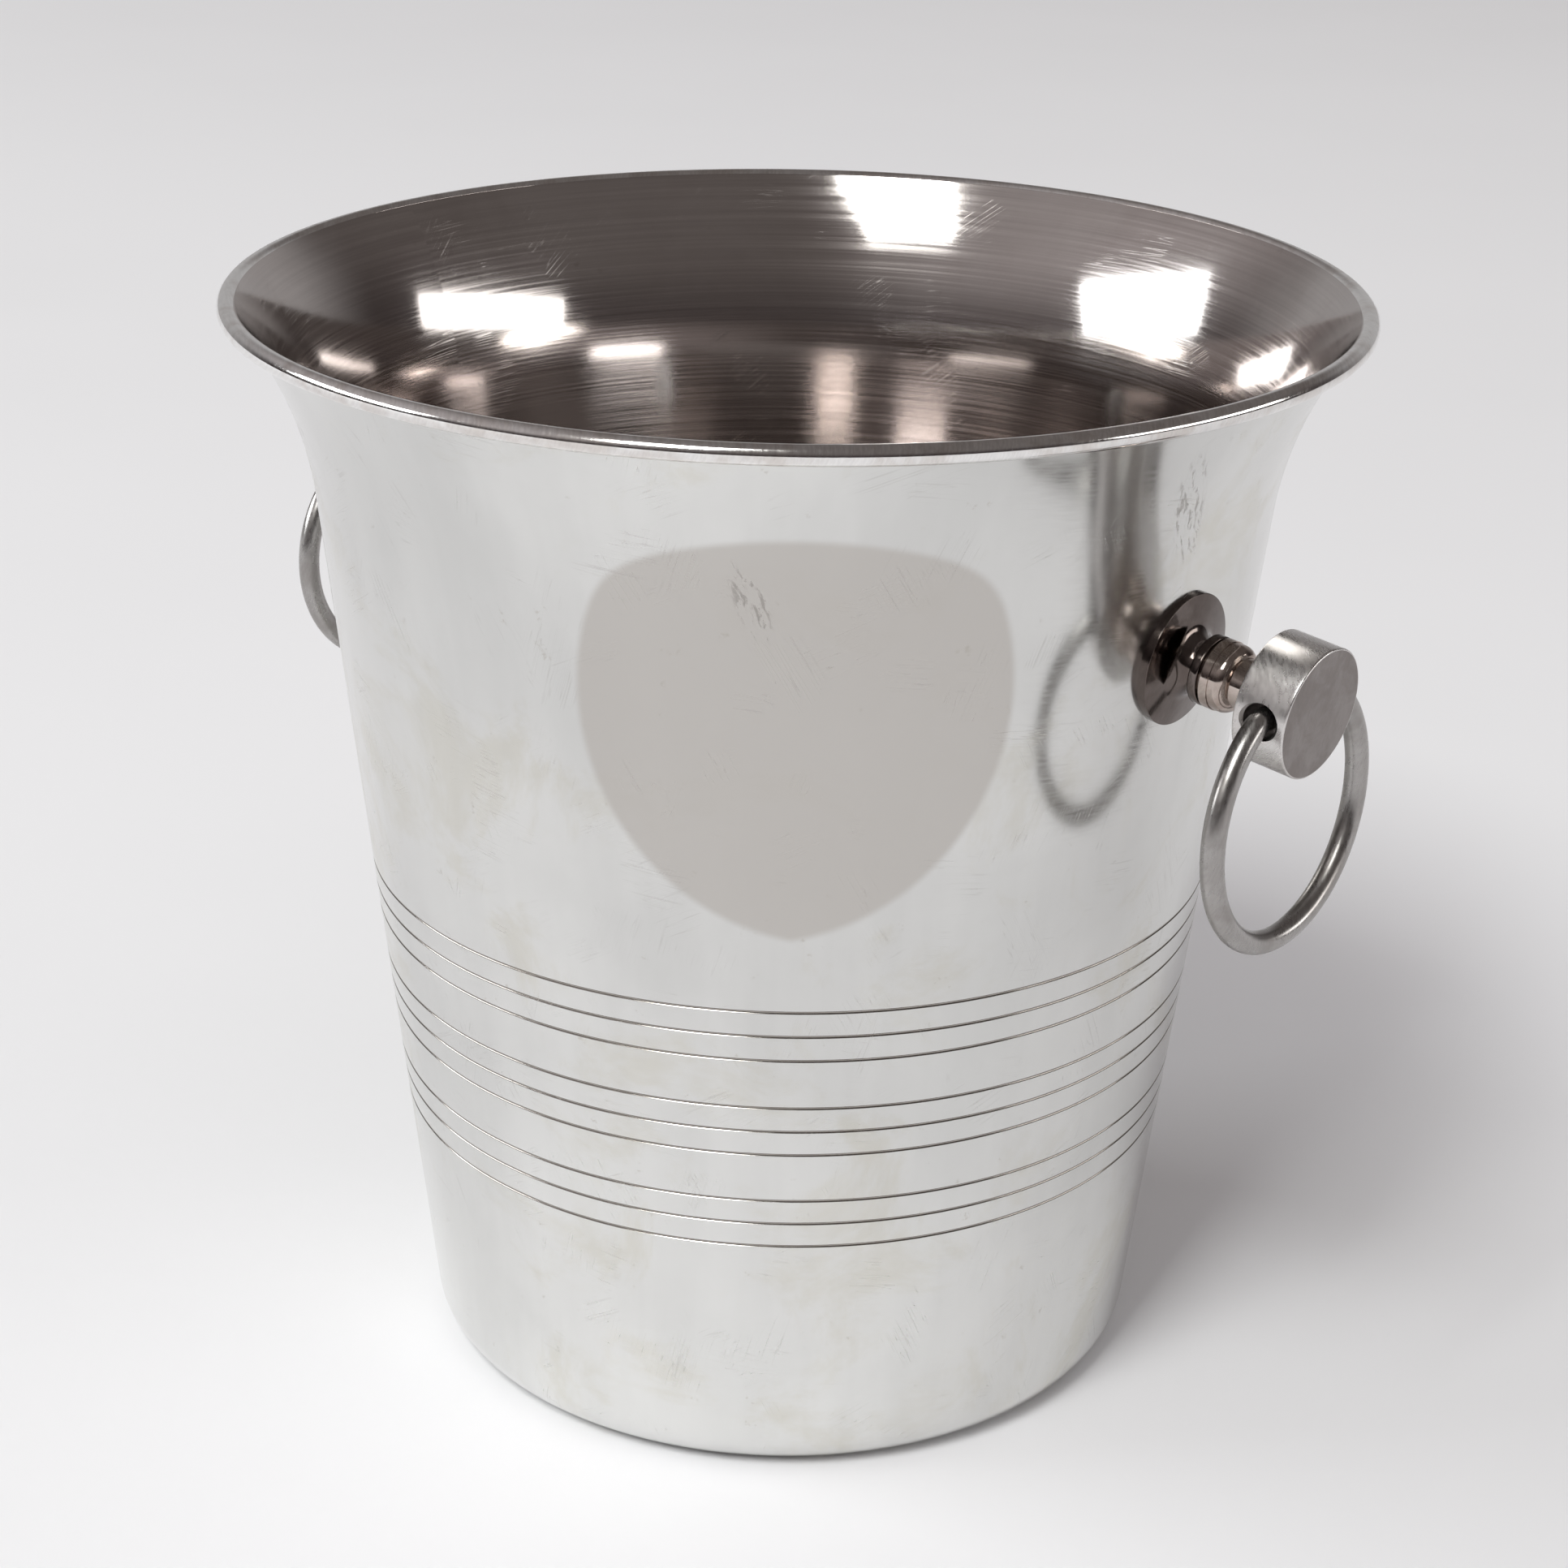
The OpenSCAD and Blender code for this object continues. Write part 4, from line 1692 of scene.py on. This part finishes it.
@dataclass
class Studio:
    """Floor, lights and camera.

    Attributes:
        camera_bearing: Direction of the camera round the bucket in degrees.
        camera_distance: Its distance from the bucket's axis.
        camera_height: Its height.
        pitch: How far it looks down, in radians.
        yaw: How far it looks aside, in radians.
        roll: How far it is tilted, in radians.
        lens: Its focal length in millimetres.
        floor_size: Radius of the floor in metres.
        dark_wall: Colour of the room near the ground.
        ceiling: Colour of the room overhead.
        bright_ceiling: Colour overhead on the left.
        backdrop: Colour of the room behind the bucket, as mirrored.
        horizon: Colour that is seen directly past the floor's edge.
        panels: The lights.
    """

    camera_bearing: float = 39.5
    camera_distance: float = 555.9 * MM
    camera_height: float = 332.8 * MM
    pitch: float = 0.3887
    yaw: float = -0.0018
    roll: float = 0.0178
    lens: float = 74.63
    floor_size: float = 3.0
    dark_wall: Colour = (0.050, 0.041, 0.041)
    ceiling: Colour = (0.140, 0.125, 0.120)
    bright_ceiling: Colour = (0.42, 0.39, 0.39)
    backdrop: Colour = (0.42, 0.41, 0.41)
    horizon: Colour = (0.62, 0.62, 0.63)
    panels: tuple[SoftPanel, ...] = (
        SoftPanel("left_window", -86.0, 18.5, 4.5, (2.8, 1.1), 9.3, (0.96, 0.99, 1.0)),
        SoftPanel("right_window", 97.0, 12.5, 4.5, (3.4, 0.9), 4.7, (1.0, 0.99, 0.97)),
        SoftPanel("high_window", -150.0, 51.0, 6.5, (2.0, 2.6), 15.5, (0.98, 1.0, 0.98)),
        SoftPanel("fill", 180.0, 60.0, 7.0, (7.0, 5.2), 0.8, (1.0, 0.95, 1.03), False),
    )

    def floor(self) -> bpy.types.Object:
        """Makes the paper floor."""
        shape = bmesh.new()
        bmesh.ops.create_circle(shape, cap_ends=True, segments=96, radius=self.floor_size)
        mesh = bpy.data.meshes.new("studio_floor")
        shape.to_mesh(mesh)
        shape.free()
        made = bpy.data.objects.new("studio_floor", mesh)
        mesh.materials.append(StudioPaper().build())
        bpy.context.scene.collection.objects.link(made)
        return made

    def camera(self) -> bpy.types.Object:
        """Makes the camera."""
        lens = bpy.data.cameras.new("camera")
        lens.lens = self.lens
        lens.sensor_width = 36.0
        lens.clip_start = 0.01
        made = bpy.data.objects.new("camera", lens)
        bearing = math.radians(self.camera_bearing)
        made.location = (self.camera_distance * math.sin(bearing),
                         -self.camera_distance * math.cos(bearing), self.camera_height)
        look = Euler((math.pi / 2 - self.pitch, 0.0, bearing - self.yaw)).to_quaternion()
        made.rotation_mode = "QUATERNION"
        made.rotation_quaternion = look @ Quaternion((0.0, 0.0, 1.0), self.roll)
        bpy.context.scene.collection.objects.link(made)
        bpy.context.scene.camera = made
        return made

    def surroundings(self) -> None:
        """Makes the dim room round the floor, and the tone curve's plain setting."""
        world = bpy.data.worlds.new("room")
        world.use_nodes = True
        tree = world.node_tree
        recipe = ShadeRecipe(tree, tree.nodes["Background"], "Generated")
        to_left = math.radians(self.camera_bearing + 180.0)
        x, y, z = recipe.split(recipe.mapped(recipe.place, turn=(0.0, 0.0, -math.degrees(to_left))))
        high = recipe.between(z, 0.05, 0.55)
        left = recipe.between(x, -0.1, 0.9)
        overhead = recipe.blend(left, self.ceiling, self.bright_ceiling)
        room = recipe.blend(high, self.dark_wall, overhead)
        behind = recipe.math("MULTIPLY", recipe.between(y, -0.9, -0.45, 1.0, 0.0),
                             recipe.between(z, 0.25, 0.5, 1.0, 0.0))
        mirrored = recipe.blend(behind, room, self.backdrop)
        seen_directly = tree.nodes.new("ShaderNodeLightPath").outputs["Is Camera Ray"]
        recipe.set({"Color": recipe.blend(seen_directly, mirrored, self.horizon)})
        bpy.context.scene.world = world
        bpy.context.scene.view_settings.view_transform = "Standard"

    def build(self) -> None:
        """Makes the whole studio."""
        self.surroundings()
        self.floor()
        for panel in self.panels:
            panel.build(self.camera_bearing)
        self.camera()


# ---------------------------------------------------------------- assembly


@dataclass(frozen=True)
class HandleFinishes:
    """Finishes of the handles' pieces and of their fixings."""

    # The foot's near-black metal and tarnish colours are a painted dark reflection of the dim room
    # that the polished flange mirrors.
    foot: SmallPartFinish = SmallPartFinish(
        "foot_painted_dark_reflection", (0.16, 0.135, 0.125), (0.085, 0.065, 0.057), 0.09, 0.55, 0.7, 90.0,
        0.0012 * MM
    )
    stem: SmallPartFinish = SmallPartFinish(
        "stem_dark_polish", (0.52, 0.45, 0.41), (0.25, 0.185, 0.155), 0.09, 0.5, 0.7, 110.0,
        0.0012 * MM
    )
    drum: SmallPartFinish = SmallPartFinish(
        "drum_satin", (0.70, 0.68, 0.67), (0.55, 0.51, 0.49), 0.25, 0.5, 0.5, 90.0, 0.003 * MM
    )
    # The drum's face is the same metal as its side: its rougher satin is real, and its much darker
    # colour is painted shade.
    face: SmallPartFinish = SmallPartFinish(
        "drum_face_satin_painted_shade", (0.28, 0.255, 0.245), (0.19, 0.165, 0.155), 0.30, 0.5, 0.6, 160.0,
        0.003 * MM, 2200.0
    )
    ring: SmallPartFinish = SmallPartFinish(
        "ring_satin", (0.40, 0.385, 0.375), (0.27, 0.245, 0.23), 0.27, 0.4, 0.45, 110.0,
        0.003 * MM
    )
    zinc: SmallPartFinish = SmallPartFinish(
        "bright_zinc", (0.72, 0.73, 0.74), (0.52, 0.52, 0.50), 0.24, 0.4, grain=0.003 * MM
    )


def hand_in(piece: bpy.types.Object, body: str, slot: Slot, *nodes: str) -> None:
    """Ties a finished piece to the frame and reports it.

    Args:
        piece: The piece.
        body: The CAD body that it moves with.
        slot: The record's material slot; not used.
        *nodes: The CAD nodes that it stands for.
    """
    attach(piece, body)
    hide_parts(*nodes)
    LOG.info("%s: %d faces, rides on %s, stands for %s",
             piece.name, len(piece.data.polygons), body, ", ".join(nodes))


def build_handle(side: Side, sizes: HandleSizes, body: BucketBody,
                 trees: dict[str, bpy.types.NodeTree],
                 dress: dict[str, bpy.types.Material]) -> None:
    """Makes the foot, the post and the ring of one handle.

    Args:
        side: The handle's side.
        sizes: Sizes that the pieces share.
        body: The bucket.
        trees: Geometry node trees by name.
        dress: Materials by name.
    """
    foot = HandleFoot(sizes, body).build(trees["turn"], dress["foot"], side)
    hand_in(foot, "bucket", Slot.FOOT, f"foot_{side.label}")
    post_dress = [dress["stem"], dress["drum"], dress["face"]]
    post = HandlePost(sizes, body).build(trees["turn"], post_dress, side)
    hand_in(post, "bucket", Slot.POST, f"post_{side.label}")
    ring = RingHandle(sizes, body).build(trees["sweep"], dress["ring"], side)
    hand_in(ring, f"ring_{side.label}", Slot.RING, f"ring_{side.label}")


def main() -> None:
    """Builds every piece, then the studio."""
    logging.basicConfig(level=logging.INFO, format="%(message)s")
    trees = {"turn": turning_tree(), "sweep": sweeping_tree(), "pair": pairing_tree()}
    finishes = HandleFinishes()
    dress = {name: getattr(finishes, name).build()
             for name in ("foot", "stem", "drum", "face", "ring", "zinc")}

    body = BucketBody()
    hand_in(body.build(trees["turn"]), "bucket", Slot.BODY, "bucket")
    sizes = HandleSizes()
    for side in Side:
        build_handle(side, sizes, body, trees, dress)
    fixings = Fixings(sizes, body)
    screws = fixings.screws(trees["turn"], trees["pair"], dress["zinc"])
    hand_in(screws, "bucket", Slot.FIXING, "screws")
    washers = fixings.washers(trees["turn"], trees["pair"], dress["zinc"])
    hand_in(washers, "bucket", Slot.FIXING, "washers")

    Studio().build()


if __name__ == "__main__":
    main()
